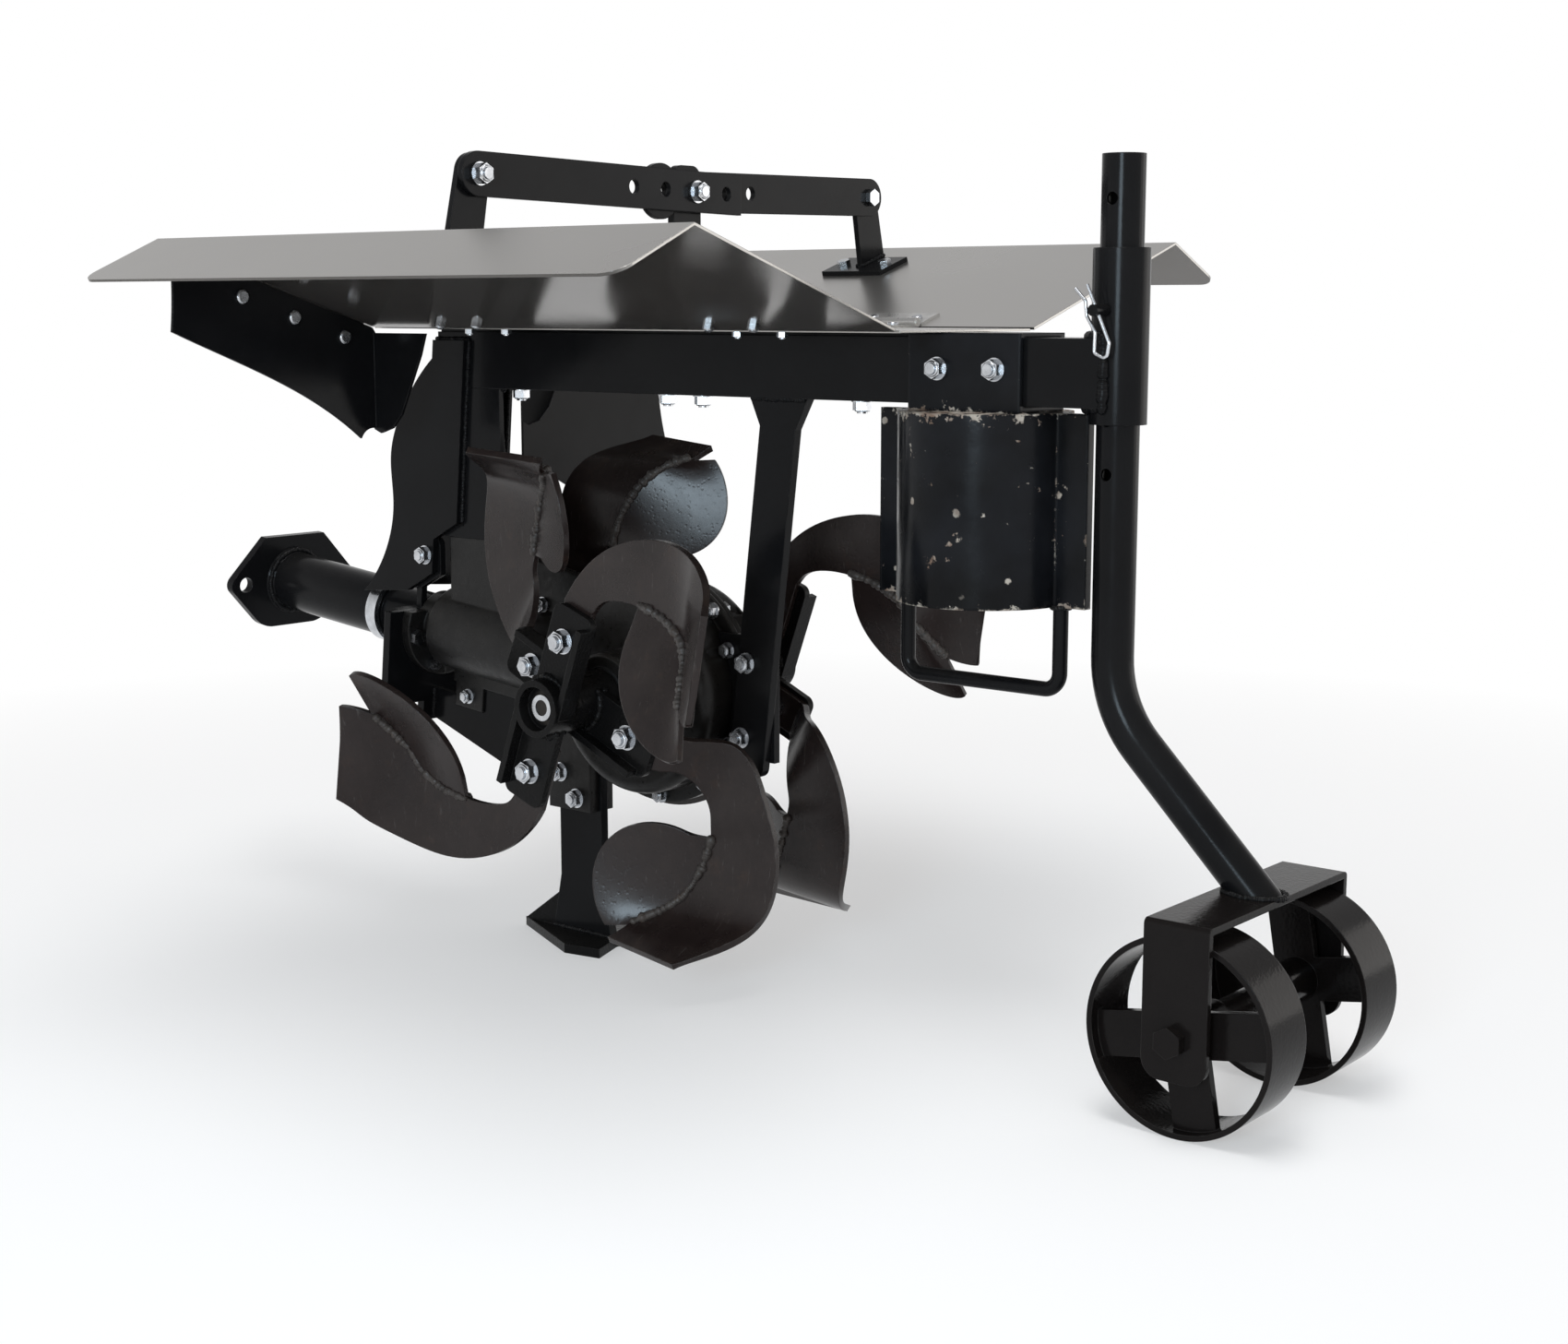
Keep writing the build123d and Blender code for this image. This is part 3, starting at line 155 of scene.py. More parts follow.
settled_dust, wants, gives = effect("settled dust", [("Scale", 9.0), ("Reach", 0.5)], [("Mask", "Float")])
tree = settled_dust
spot = place(tree, "ShaderNodeTexCoord")
up = place(tree, "ShaderNodeSeparateXYZ", None, Vector=spot.outputs["Normal"])
level = stretch(tree, up.outputs["Z"], -0.2, 0.9)
drift = stretch(tree, cloud(tree, spot.outputs["Object"], wants["Scale"], 6.0), 0.35, 0.7)
caught = sums(tree, "MULTIPLY", level, drift)
tree.links.new(sums(tree, "MULTIPLY", caught, wants["Reach"], True), gives["Mask"])


def black_enamel(name, tone, dust, gloss, peel):
    """Sprayed gloss black: orange peel, rubbed corners and a film of dust."""
    material, tree, paint = new_finish(name)
    spot = where(tree)
    worn = use(tree, rubbed_edges, Radius=0.0014, Gain=2.6, Patch_Scale=55.0)
    film = use(tree, settled_dust, Scale=7.0, Reach=dust)
    thin = [part * 1.8 for part in tone]
    coat = shade(tree, stretch(tree, cloud(tree, spot, 5.0), 0.3, 0.7), tone, thin)
    rubbed = shade(tree, sums(tree, "MULTIPLY", worn["Mask"], 0.45), coat, (0.085, 0.080, 0.075))
    tree.links.new(shade(tree, film["Mask"], rubbed, (0.15, 0.135, 0.115)), paint.inputs["Base Color"])
    smear = stretch(tree, cloud(tree, spot, 22.0, 5.0), 0.3, 0.75, gloss, gloss + 0.13)
    matt = sums(tree, "MULTIPLY", film["Mask"], 0.5)
    tree.links.new(sums(tree, "ADD", smear, matt, True), paint.inputs["Roughness"])
    relief(tree, paint, cloud(tree, spot, 320.0, 2.0), peel, 0.0006, worn["Normal"])
    paint.inputs["Specular IOR Level"].default_value = 0.085
    return material


gloss_black = black_enamel("gloss black enamel", (0.0040, 0.0040, 0.0044), 0.06, 0.13, 0.08)
coat_nodes(gloss_black, "drive_tube")
tube_slope = math.radians(6.08)
tube_ahead = Vector((0, math.cos(tube_slope), math.sin(tube_slope)))
tube_above = Vector((0, -math.sin(tube_slope), math.cos(tube_slope)))
right = Vector((1, 0, 0))


def bead_tree():
    """Geometry Nodes for a weld: overlapping flattened drops along a seam."""
    tree = bpy.data.node_groups.new("weld drops", "GeometryNodeTree")
    sockets = tree.interface
    sockets.new_socket(name="Geometry", in_out="INPUT", socket_type="NodeSocketGeometry")
    for label, value in (("Width", 0.005), ("Step", 0.0022), ("Uneven", 0.3)):
        sockets.new_socket(name=label, in_out="INPUT", socket_type="NodeSocketFloat").default_value = value
    sockets.new_socket(name="Seed", in_out="INPUT", socket_type="NodeSocketInt")
    sockets.new_socket(name="Finish", in_out="INPUT", socket_type="NodeSocketMaterial")
    sockets.new_socket(name="Geometry", in_out="OUTPUT", socket_type="NodeSocketGeometry")
    start = tree.nodes.new("NodeGroupInput").outputs
    end = tree.nodes.new("NodeGroupOutput").inputs
    seam = place(tree, "GeometryNodeMeshToCurve", None, Mesh=start["Geometry"])
    steps = place(tree, "GeometryNodeResampleCurve", {"mode": "LENGTH"},
                  Curve=seam.outputs[0], Length=start["Step"])
    drop = place(tree, "GeometryNodeMeshIcoSphere", None, Radius=0.5, Subdivisions=2)
    along = place(tree, "GeometryNodeInputTangent")
    turn = place(tree, "FunctionNodeAlignRotationToVector", {"axis": "Z"}, Vector=along.outputs[0])
    ripple = place(tree, "FunctionNodeRandomValue", {"data_type": "FLOAT"}, Seed=start["Seed"])
    spread = sums(tree, "MULTIPLY", ripple.outputs[1], start["Uneven"])
    size = sums(tree, "MULTIPLY", sums(tree, "ADD", spread, 0.8), start["Width"])
    scale = place(tree, "ShaderNodeCombineXYZ", None, X=size, Y=size, Z=sums(tree, "MULTIPLY", size, 0.8))
    shift = place(tree, "FunctionNodeRandomValue", {"data_type": "FLOAT_VECTOR"}, Seed=start["Seed"])
    wander = place(tree, "ShaderNodeVectorMath", {"operation": "SCALE"},
                   Scale=sums(tree, "MULTIPLY", start["Width"], 0.12))
    tree.links.new(shift.outputs[0], wander.inputs[0])
    moved = place(tree, "GeometryNodeSetPosition", None, Geometry=steps.outputs[0], Offset=wander.outputs[0])
    drops = place(tree, "GeometryNodeInstanceOnPoints", None, Points=moved.outputs[0],
                  Instance=drop.outputs[0], Rotation=turn.outputs[0], Scale=scale.outputs[0])
    finish_tree(tree, drops.outputs[0], start["Finish"], end["Geometry"])
    return tree


def finish_tree(tree, copies, finish, end):
    """Close a geometry tree: real, smooth copies with their finish."""
    solid = place(tree, "GeometryNodeRealizeInstances", None, Geometry=copies)
    smooth = place(tree, "GeometryNodeSetShadeSmooth", None, Geometry=solid.outputs[0])
    coated = place(tree, "GeometryNodeSetMaterial", None, Geometry=smooth.outputs[0], Material=finish)
    tree.links.new(coated.outputs[0], end)


def grown(guide, tree, values, body):
    """Run a geometry tree on a guide and keep the result as a plain mesh that rides on a body."""
    name = guide.name
    guide.name = name + "_guide"
    piece = bpy.data.objects.new(name, guide)
    bpy.context.scene.collection.objects.link(piece)
    growth = piece.modifiers.new("growth", "NODES")
    growth.node_group = tree
    for item in tree.interface.items_tree:
        if item.item_type == "SOCKET" and item.in_out == "INPUT" and item.name in values:
            growth[item.identifier] = values[item.name]
    made = bpy.data.meshes.new_from_object(piece.evaluated_get(bpy.context.evaluated_depsgraph_get()))
    piece.modifiers.remove(growth)
    made.name = name
    faces = bmesh.new()
    faces.from_mesh(made)
    bmesh.ops.recalc_face_normals(faces, faces=faces.faces)
    faces.to_mesh(made)
    faces.free()
    piece.data = made
    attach(piece, body)


weld_drops = bead_tree()


def weld(name, seams, width, body, finish, uneven=0.3, seed=1):
    """Weld beads along seams, each a list of points in metres."""
    points, edges = [], []
    for seam in seams:
        first = len(points)
        points += [tuple(point) for point in seam]
        edges += [(first + i, first + i + 1) for i in range(len(seam) - 1)]
    guide = bpy.data.meshes.new(name)
    guide.from_pydata(points, edges, [])
    values = {"Width": width, "Step": width * 0.42, "Uneven": uneven, "Seed": seed, "Finish": finish}
    grown(guide, weld_drops, values, body)


def hoop(centre, across, up, reach_across, reach_up, start=0.0, end=360.0, count=40):
    """Oval seam, or part of one, round a centre."""
    turns = [math.radians(start + (end - start) * i / count) for i in range(count + 1)]
    return [centre + across * (reach_across * math.cos(t)) + up * (reach_up * math.sin(t)) for t in turns]


weld("weld_flange", [hoop(tube_ahead * -0.0135, right, tube_above, 0.037, 0.037)], 0.0065,
     "frame", gloss_black)

# Bolts, nuts, washers and the ring on the tube: zinc-plated steel with a faint cloudy
# bloom. Each nut is a lock nut, with a rolled collar round the end of its bolt.


def zinc_plate(name, tone, bloom, gloss):
    """Bright plating that clouds towards a duller tone."""
    material, tree, plate = new_finish(name)
    spot = where(tree)
    film = use(tree, settled_dust, Scale=30.0, Reach=0.2)
    mist = cloud(tree, spot, 70.0, 5.0)
    cool = shade(tree, stretch(tree, mist, 0.35, 0.68), tone, [part * bloom for part in tone])
    tree.links.new(shade(tree, film["Mask"], cool, (0.24, 0.22, 0.19)), plate.inputs["Base Color"])
    tree.links.new(stretch(tree, mist, 0.3, 0.7, gloss, gloss + 0.16), plate.inputs["Roughness"])
    relief(tree, plate, cloud(tree, spot, 240.0, 3.0), 0.10, 0.0004)
    plate.inputs["Metallic"].default_value = 1.0
    return material


bright_zinc = zinc_plate("bright zinc plate", (0.64, 0.66, 0.69), 0.72, 0.17)
coat_nodes(bright_zinc, "tube_ring", "frame_bolts", "beam_bolts", "gearbox_bolts", "blade_bolts", "mast_bolt",
           "mast_nut", "wing_bolts_left", "wing_bolts_right", "hinge_deck_bolts", "hub_end_rings", "pin_clip")


def collar_tree():
    """Geometry Nodes for lock nuts: a rolled collar on each point, aimed and sized by the guide."""
    tree = bpy.data.node_groups.new("nut collars", "GeometryNodeTree")
    sockets = tree.interface
    sockets.new_socket(name="Geometry", in_out="INPUT", socket_type="NodeSocketGeometry")
    for label, value in (("Reach", 0.61), ("Roll", 0.15)):
        sockets.new_socket(name=label, in_out="INPUT", socket_type="NodeSocketFloat").default_value = value
    sockets.new_socket(name="Finish", in_out="INPUT", socket_type="NodeSocketMaterial")
    sockets.new_socket(name="Geometry", in_out="OUTPUT", socket_type="NodeSocketGeometry")
    start = tree.nodes.new("NodeGroupInput").outputs
    end = tree.nodes.new("NodeGroupOutput").inputs
    rim = place(tree, "GeometryNodeCurvePrimitiveCircle", {"mode": "RADIUS"},
                Resolution=18, Radius=start["Reach"])
    roll = place(tree, "GeometryNodeCurvePrimitiveCircle", {"mode": "RADIUS"},
                 Resolution=7, Radius=start["Roll"])
    collar = place(tree, "GeometryNodeCurveToMesh", None, Curve=rim.outputs[0], Profile_Curve=roll.outputs[0])
    axis = place(tree, "GeometryNodeInputNamedAttribute", {"data_type": "FLOAT_VECTOR"}, Name="axis")
    size = place(tree, "GeometryNodeInputNamedAttribute", {"data_type": "FLOAT"}, Name="size").outputs[0]
    turn = place(tree, "FunctionNodeAlignRotationToVector", {"axis": "Z"}, Vector=axis.outputs[0])
    scale = place(tree, "ShaderNodeCombineXYZ", None, X=size, Y=size, Z=size)
    copies = place(tree, "GeometryNodeInstanceOnPoints", None, Points=start["Geometry"],
                   Instance=collar.outputs[0], Rotation=turn.outputs[0], Scale=scale.outputs[0])
    finish_tree(tree, copies.outputs[0], start["Finish"], end["Geometry"])
    return tree


nut_collars = collar_tree()


def lock_nuts(name, body, nuts):
    """Collars on nuts, each given by the middle of its top, its direction and the bolt's diameter."""
    guide = bpy.data.meshes.new(name)
    guide.from_pydata([tuple(top) for top, axis, size in nuts], [], [])
    guide.attributes.new("axis", "FLOAT_VECTOR", "POINT")
    guide.attributes.new("size", "FLOAT", "POINT")
    for i, (_, axis, size) in enumerate(nuts):
        guide.attributes["axis"].data[i].vector = axis
        guide.attributes["size"].data[i].value = size
    grown(guide, nut_collars, {"Reach": 0.61, "Roll": 0.15, "Finish": bright_zinc}, body)


left, down = -right, Vector((0, 0, -1))
m6, m8, m10, m12 = 0.006, 0.008, 0.010, 0.012
rotor_centre = Vector((0, -0.610049, -0.064980))
beam_nuts = [((0, y, 0.227), down, m10) for y in (-0.408, -0.870, -0.6694, -0.6214)]
strap_nuts = [((-0.046, y, 0.269), left, m10) for y in (-0.983, -1.045)]
gusset_nuts = [((0.048 * side, -0.291, 0.052), right * side, m10) for side in (-1, 1)]
strut_nuts = [((-0.035, y, z), left, m10) for y, z in ((-0.74705, -0.02498), (-0.74005, -0.10098))]
shank_nuts = [((-0.027, y, z), left, m10) for y, z in ((-0.47605, -0.172), (-0.50005, -0.198))]
joint_nuts = []
joint_behind = 0.242
for x, rise in ((0.046, -0.010), (0.020, -0.043), (-0.020, -0.043), (-0.046, -0.010)):
    joint_nuts.append((right * x - tube_ahead * joint_behind + tube_above * rise, tube_ahead, m10))
split_nuts = []
split_circle, split_nut_end, strut_nut_end = 0.115, -0.015, -0.023
for angle in (48, 132, 155, 205, 235, 268, 300):
    t = math.radians(angle)
    out = strut_nut_end if angle in (155, 205) else split_nut_end
    reach = Vector((out, split_circle * math.cos(t), split_circle * math.sin(t)))
    split_nuts.append((rotor_centre + reach, left, m8))
for behind, rise in ((0.332, -0.073), (0.440, -0.053), (0.440, 0.053)):
    split_nuts.append((right * split_nut_end - tube_ahead * behind + tube_above * rise, left, m8))
hinge_nuts = []
hinge_rows = (-0.422, -0.476, -0.788, -0.842)
for y in hinge_rows:
    hinge_nuts += [((x, y, 0.2962), down, m6) for x in (-0.085, 0.085)]
lock_nuts("collars_frame", "frame", beam_nuts + strap_nuts + gusset_nuts + strut_nuts + shank_nuts
          + joint_nuts + split_nuts + hinge_nuts)

# Front plate, front post, gussets, beam, strut, stay and sleeve: cut plate, angle bar
# and square tube, welded or bolted to one another, all in the same gloss enamel.
coat_nodes(gloss_black, "front_plate", "front_post", "gussets", "main_beam", "rear_strut", "rear_bracket",
           "lower_stay", "share_shank", "post_sleeve", "lock_pin", "ballast_handle")
beam_low = 0.237
beam_top = 0.297
beam_side = 0.031
gusset_top = ((-0.3605, 0.2885), (-0.3115, 0.2885))
gusset_back = ((-0.361, 0.286), (-0.353, 0.200), (-0.3435, 0.092))
shank_side, shank_foot = 0.0055, ((-0.535, -0.3495), (-0.452, -0.3495))
seams = []
for side in (-1, 1):
    seams.append([(beam_side * side, y, z) for y, z in gusset_top])
    seams.append([(beam_side * side, y, z) for y, z in gusset_back])
    seams.append([(shank_side * side, y, z) for y, z in shank_foot])
    stay_end = right * (0.0045 * side) - tube_ahead * 0.2725
    seams.append([stay_end + tube_above * rise for rise in (-0.078, -0.108)])
strut_sides, strut_back, strut_front = (-0.0255, -0.0145), -0.820, -0.756
for x in strut_sides:
    seams.append([(x, strut_back, beam_low - 0.001), (x, strut_front, beam_low - 0.001)])
angle_corner = ((-0.0232, -0.4055), (-0.0232, -0.3518), (0.029, -0.3518))
foot_top = 0.087
for level in (foot_top + 0.001, beam_low - 0.001):
    seams.append([(x, y, level) for x, y in angle_corner])
weld("weld_frame", seams, 0.006, "frame", gloss_black, 0.35, 4)
sleeve_middle, sleeve_round = -1.150, 0.0265
seams = []
for side in (-1, 1):
    beam_end = (0.0275 * side, sleeve_middle - 0.0005)
    seams.append([(*beam_end, level) for level in (beam_low + 0.001, beam_top - 0.001)])
for level in (beam_low - 0.0005, beam_top + 0.0005):
    centre = Vector((0, sleeve_middle, level))
    seams.append(hoop(centre, right, Vector((0, 1, 0)), sleeve_round, sleeve_round, 0, 180, 20))
weld("weld_sleeve", seams, 0.0078, "frame", gloss_black, 0.7, 11)

# Gearbox: two grey-iron castings bolted on the centre line, with a sand-cast skin
# under brushed black paint, dusty on top where the rotor throws soil at it.
sand_cast, tree, paint = new_finish("painted sand casting")
spot = where(tree)
worn = use(tree, rubbed_edges, Radius=0.003, Gain=1.6, Patch_Scale=35.0)
film = use(tree, settled_dust, Scale=11.0, Reach=0.14)
grit = cloud(tree, spot, 140.0, 6.0, 0.7)
lumps = cloud(tree, spot, 24.0, 3.0)
dark = shade(tree, lumps, (0.0035, 0.0033, 0.0033), (0.012, 0.011, 0.0105))
bare = shade(tree, sums(tree, "MULTIPLY", worn["Mask"], 0.5), dark, (0.075, 0.066, 0.058))
tree.links.new(shade(tree, film["Mask"], bare, (0.16, 0.14, 0.115)), paint.inputs["Base Color"])
tree.links.new(stretch(tree, grit, 0.3, 0.75, 0.22, 0.5), paint.inputs["Roughness"])
coarse = sums(tree, "ADD", sums(tree, "MULTIPLY", grit, 0.5), lumps)
relief(tree, paint, coarse, 0.35, 0.0015, worn["Normal"])
paint.inputs["Specular IOR Level"].default_value = 0.2
coat_nodes(sand_cast, "gearbox_left", "gearbox_right")

# Shafts, gears and bearings inside: turned steel with an oil film, the rotor shaft
# blackened by heat treatment, and moulded rubber for the seals.


def turned_steel(name, dark, light, gloss):
    """Machined steel, stained in soft patches."""
    material, tree, metal = new_finish(name)
    spot = where(tree)
    stain = cloud(tree, spot, 18.0, 5.0)
    tree.links.new(shade(tree, stain, dark, light), metal.inputs["Base Color"])
    tree.links.new(stretch(tree, stain, 0.3, 0.7, gloss, gloss + 0.2), metal.inputs["Roughness"])
    relief(tree, metal, cloud(tree, spot, 260.0, 3.0), 0.1, 0.0003)
    metal.inputs["Metallic"].default_value = 1.0
    return material


oiled_steel = turned_steel("oiled turned steel", (0.32, 0.31, 0.30), (0.52, 0.51, 0.50), 0.18)
coat_nodes(oiled_steel, "input_shaft", "crown_gear", "bevel_pinion", "shaft_bearings")
blackened_steel = turned_steel("blackened shaft steel", (0.022, 0.021, 0.020), (0.060, 0.056, 0.052), 0.3)
coat_nodes(blackened_steel, "rotor_shaft")
seal_rubber, tree, rubber = new_finish("seal rubber")
bloom = cloud(tree, where(tree), 60.0)
tree.links.new(shade(tree, bloom, (0.010, 0.010, 0.010), (0.028, 0.027, 0.026)), rubber.inputs["Base Color"])
tree.links.new(stretch(tree, bloom, 0.3, 0.7, 0.5, 0.7), rubber.inputs["Roughness"])
coat_nodes(seal_rubber, "shaft_seals")

# Rotor hubs, blade holders and the share's point: thick tube and torch-cut plate, welded
# and painted black before the blades go on, so the cut faces keep their ridges.
torch_cut = black_enamel("black over torch cuts", (0.0036, 0.0034, 0.0034), 0.10, 0.2, 0.5)
coat_nodes(torch_cut, "rotor_hubs", "blade_holders", "share_point")
blade_rows = {"outer": (0.160, (110, -70)), "inner": (0.115, (24, 204))}
holder_thick, hub_round, blade_bolt_circle, nut_height = 0.008, 0.0295, 0.072, 0.0115
hub_seams, rotor_nuts = [], []
for face, angles in blade_rows.values():
    for angle in angles:
        for side in (-1, 1):
            for x in (face - 0.0005, face + holder_thick + 0.0005):
                centre = rotor_centre + right * (side * x)
                hub_seams.append(hoop(centre, Vector((0, 1, 0)), Vector((0, 0, 1)), hub_round, hub_round,
                                      angle - 48, angle + 62, 16))
            t = math.radians(angle)
            reach = Vector((0, blade_bolt_circle * math.cos(t), blade_bolt_circle * math.sin(t)))
            nut_end = right * (side * (face + holder_thick + nut_height))
            rotor_nuts.append((rotor_centre + nut_end + reach, right * side, m12))
weld("weld_hubs", hub_seams, 0.0065, "rotor", torch_cut, 0.7, 9)
lock_nuts("collars_rotor", "rotor", rotor_nuts)

# Blades: sickle plates forged from dark rolled steel and left bare, brown with mill
# scale and oil, each with an oval wing welded roughly along the hollow edge.
mill_scale, wants, gives = effect(
    "mill scale", [("Scale", 14.0), ("Scratch", 0.5)],
    [("Tone", "Float"), ("Scratch", "Float"), ("Height", "Float")],
)
tree = mill_scale
spot = where(tree)
mottle = place(tree, "ShaderNodeTexNoise", None, Vector=spot, Scale=wants["Scale"],
               Detail=8.0, Roughness=0.68, Distortion=0.4).outputs["Fac"]
pits = place(tree, "ShaderNodeTexVoronoi", {"feature": "F1"}, Vector=spot, Scale=190.0)
drawn = place(tree, "ShaderNodeMapping", None, Vector=spot, Scale=(30.0, 260.0, 40.0),
              Rotation=(0.6, 0.2, 0.4))
lines = stretch(tree, cloud(tree, drawn.outputs[0], 1.0, 3.0, 0.8), 0.62, 0.72)
tree.links.new(stretch(tree, mottle, 0.3, 0.72), gives["Tone"])
tree.links.new(sums(tree, "MULTIPLY", lines, wants["Scratch"], True), gives["Scratch"])
deep = stretch(tree, pits.outputs["Distance"], 0.0, 0.35, 0.0, 0.5)
tree.links.new(sums(tree, "ADD", mottle, deep), gives["Height"])


def bare_steel(name, dark, light, rust, gloss):
    """Rolled steel under oxide: mottled, faintly rusty, rubbed bright on its edges."""
    material, tree, metal = new_finish(name)
    spot = where(tree)
    worn = use(tree, rubbed_edges, Radius=0.0016, Gain=3.2, Patch_Scale=70.0)
    scale = use(tree, mill_scale, Scale=13.0, Scratch=0.5)
    film = use(tree, settled_dust, Scale=16.0, Reach=0.10)
    oxide = shade(tree, scale["Tone"], dark, light)
    blush = stretch(tree, cloud(tree, spot, 32.0, 6.0, 0.7), 0.56, 0.74, 0.0, 0.5)
    rusty = shade(tree, blush, oxide, rust)
    cut = shade(tree, sums(tree, "MULTIPLY", scale["Scratch"], 0.5), rusty, (0.11, 0.10, 0.095))
    rubbed = shade(tree, sums(tree, "MULTIPLY", worn["Mask"], 0.55), cut, (0.17, 0.155, 0.14))
    tree.links.new(shade(tree, film["Mask"], rubbed, (0.13, 0.11, 0.09)), metal.inputs["Base Color"])
    tree.links.new(stretch(tree, scale["Tone"], 0.0, 1.0, gloss + 0.1, gloss), metal.inputs["Roughness"])
    relief(tree, metal, scale["Height"], 0.22, 0.0008, worn["Normal"])
    metal.inputs["Specular IOR Level"].default_value = 0.26
    return material


blade_steel = bare_steel("blade steel", (0.0105, 0.0066, 0.0060), (0.022, 0.0150, 0.0136),
                         (0.034, 0.018, 0.0120), 0.20)
weld_steel = bare_steel("weld steel", (0.022, 0.018, 0.0165), (0.070, 0.060, 0.054),
                        (0.065, 0.036, 0.023), 0.3)
coat_nodes(blade_steel, "blades_left_outer", "blades_left_inner", "blades_right_outer", "blades_right_inner")
hollow_edges = {
    "outer": [(145, 80, 6), (147, 112, 9), (140, 143, 13), (124, 160, 20), (98, 190, 49)],
    "inner": [(165, 74, -52), (168, 106, -49), (165, 140, -39), (155, 164, -24), (143, 181, -3)],
}
round_edges = {
    "outer": [(196, 42, 5), (216, 84, 9), (222, 125, 18), (220, 152, 30), (213, 178, 46)],
    "inner": [(228, 26, -55), (250, 70, -56), (256, 108, -51), (254, 127, -38), (243, 148, -4)],
}


def smooth_path(points, steps=5):
    """Points on a smooth curve through the given ones."""
    path = []
    for i in range(len(points) - 1):
        before, start, end, after = [points[min(max(i + k, 0), len(points) - 1)] for k in (-1, 0, 1, 2)]
        for k in range(steps):
            t = k / steps
            bend = (end - before) * t + (before * 2 - start * 5 + end * 4 - after) * t * t
            path.append(start + (bend + (start * 3 - before - end * 3 + after) * t ** 3) * 0.5)
    return path + [points[-1]]


plate_middle, bead_lift, bead_inset = 0.0035, 0.0042, 0.002
for row, (face, angles) in blade_rows.items():
    seams = []
    hollow = [Vector((u, v, s)) / 1000 for u, v, s in hollow_edges[row]]
    round_side = [Vector((u, v, s)) / 1000 for u, v, s in round_edges[row]]
    for lift in (-bead_lift, bead_lift):
        bead = []
        for i, point in enumerate(hollow):
            across = (round_side[i] - point).normalized()
            before, after = max(i - 1, 0), min(i + 1, 4)
            path = hollow[after] + round_side[after] - hollow[before] - round_side[before]
            bead.append(point + across * bead_inset + across.cross(path).normalized() * lift)
        for angle in angles:
            c, s = math.cos(math.radians(angle)), math.sin(math.radians(angle))
            for side in (-1, 1):
                path = [Vector((side * (face - plate_middle + out), u * c - v * s, u * s + v * c))
                        for u, v, out in smooth_path(bead)]
                seams.append([rotor_centre + point for point in path])
    weld("weld_blades_" + row, seams, 0.0072, "rotor", weld_steel, 0.8, 7)

# Deck and wings: bright stainless sheet with a rolled grain along the machine; the
# undersides are painted dark as painted shade, and the folds are left plain.
rolled_grain, wants, gives = effect(
    "rolled grain", [("Fineness", 900.0)], [("Tone", "Float"), ("Height", "Float")],
)
tree = rolled_grain
spot = where(tree)
drawn = place(tree, "ShaderNodeMapping", None, Vector=spot, Scale=(1.0, 0.012, 1.0))
tree.links.new(cloud(tree, spot, 4.0, 5.0, 0.55), gives["Tone"])
tree.links.new(cloud(tree, drawn.outputs[0], wants["Fineness"], 3.0), gives["Height"])
stainless, tree, metal = new_finish("rolled stainless sheet")
worn = use(tree, rubbed_edges, Radius=0.001, Gain=2.0, Patch_Scale=60.0)
grain = use(tree, rolled_grain, Fineness=900.0)
spot = place(tree, "ShaderNodeTexCoord")
up = place(tree, "ShaderNodeSeparateXYZ", None, Vector=spot.outputs["Normal"])
under = stretch(tree, up.outputs["Z"], -0.3, 0.1, 1.0, 0.0)
clean = shade(tree, grain["Tone"], (0.46, 0.447, 0.425), (0.56, 0.547, 0.525))
# Faces turned downwards get a dark tone: painted shade under the deck and wings.
underside_painted_shade = shade(tree, grain["Tone"], (0.072, 0.066, 0.060), (0.128, 0.119, 0.110))
tree.links.new(shade(tree, under, clean, underside_painted_shade), metal.inputs["Base Color"])
tree.links.new(sums(tree, "SUBTRACT", 1.0, sums(tree, "MULTIPLY", under, 0.45)), metal.inputs["Metallic"])
sheen = stretch(tree, grain["Tone"], 0.3, 0.7, 0.26, 0.36)
slick = sums(tree, "MULTIPLY", under, 0.18)
tree.links.new(sums(tree, "SUBTRACT", sheen, slick, True), metal.inputs["Roughness"])
relief(tree, metal, grain["Height"], 0.06, 0.0002, worn["Normal"])
coat_nodes(stainless, "deck_plate", "wing_left", "wing_right")
wing_slope = math.radians(17.8)
hinge_out, hinge_level = 0.105, 0.3085


def on_wing(side, out, y, rise):
    """Point on a wing, measured out from its hinge along the sheet and square to it."""
    x = hinge_out + out * math.cos(wing_slope) - rise * math.sin(wing_slope)
    return Vector((side * x, y, hinge_level + out * math.sin(wing_slope) + rise * math.cos(wing_slope)))


for side, body in ((-1, "wing_left"), (1, "wing_right")):
    below = Vector((side * math.sin(wing_slope), 0, -math.cos(wing_slope)))
    ahead = Vector((0, 1, 0))
    foot_nuts = [(on_wing(side, 0.200, y, -0.0155), below, m8) for y in (-0.6174, -0.6734)]
    shield_nuts = [(on_wing(side, out, -0.2866, -0.0295), ahead, m8) for out in (0.174, 0.106, 0.038)]
    leaf_nuts = [(on_wing(side, 0.020, y, -0.0123), below, m6) for y in hinge_rows]
    pivot = ((0.292, -0.6334, 0.441), ahead, m10) if side > 0 else ((-0.292, -0.6723, 0.441), -ahead, m10)
    lock_nuts("collars_" + body, body, foot_nuts + shield_nuts + leaf_nuts + [pivot])

# Hinges: pressed butt hinges of bright steel, bolted on top of the deck and wings.
# The knuckles turn on a plain pin.
hinge_steel = zinc_plate("bright hinge steel", (0.70, 0.69, 0.67), 0.75, 0.24)
coat_nodes(hinge_steel, "hinge_deck_leaves", "hinge_leaves_left", "hinge_leaves_right")

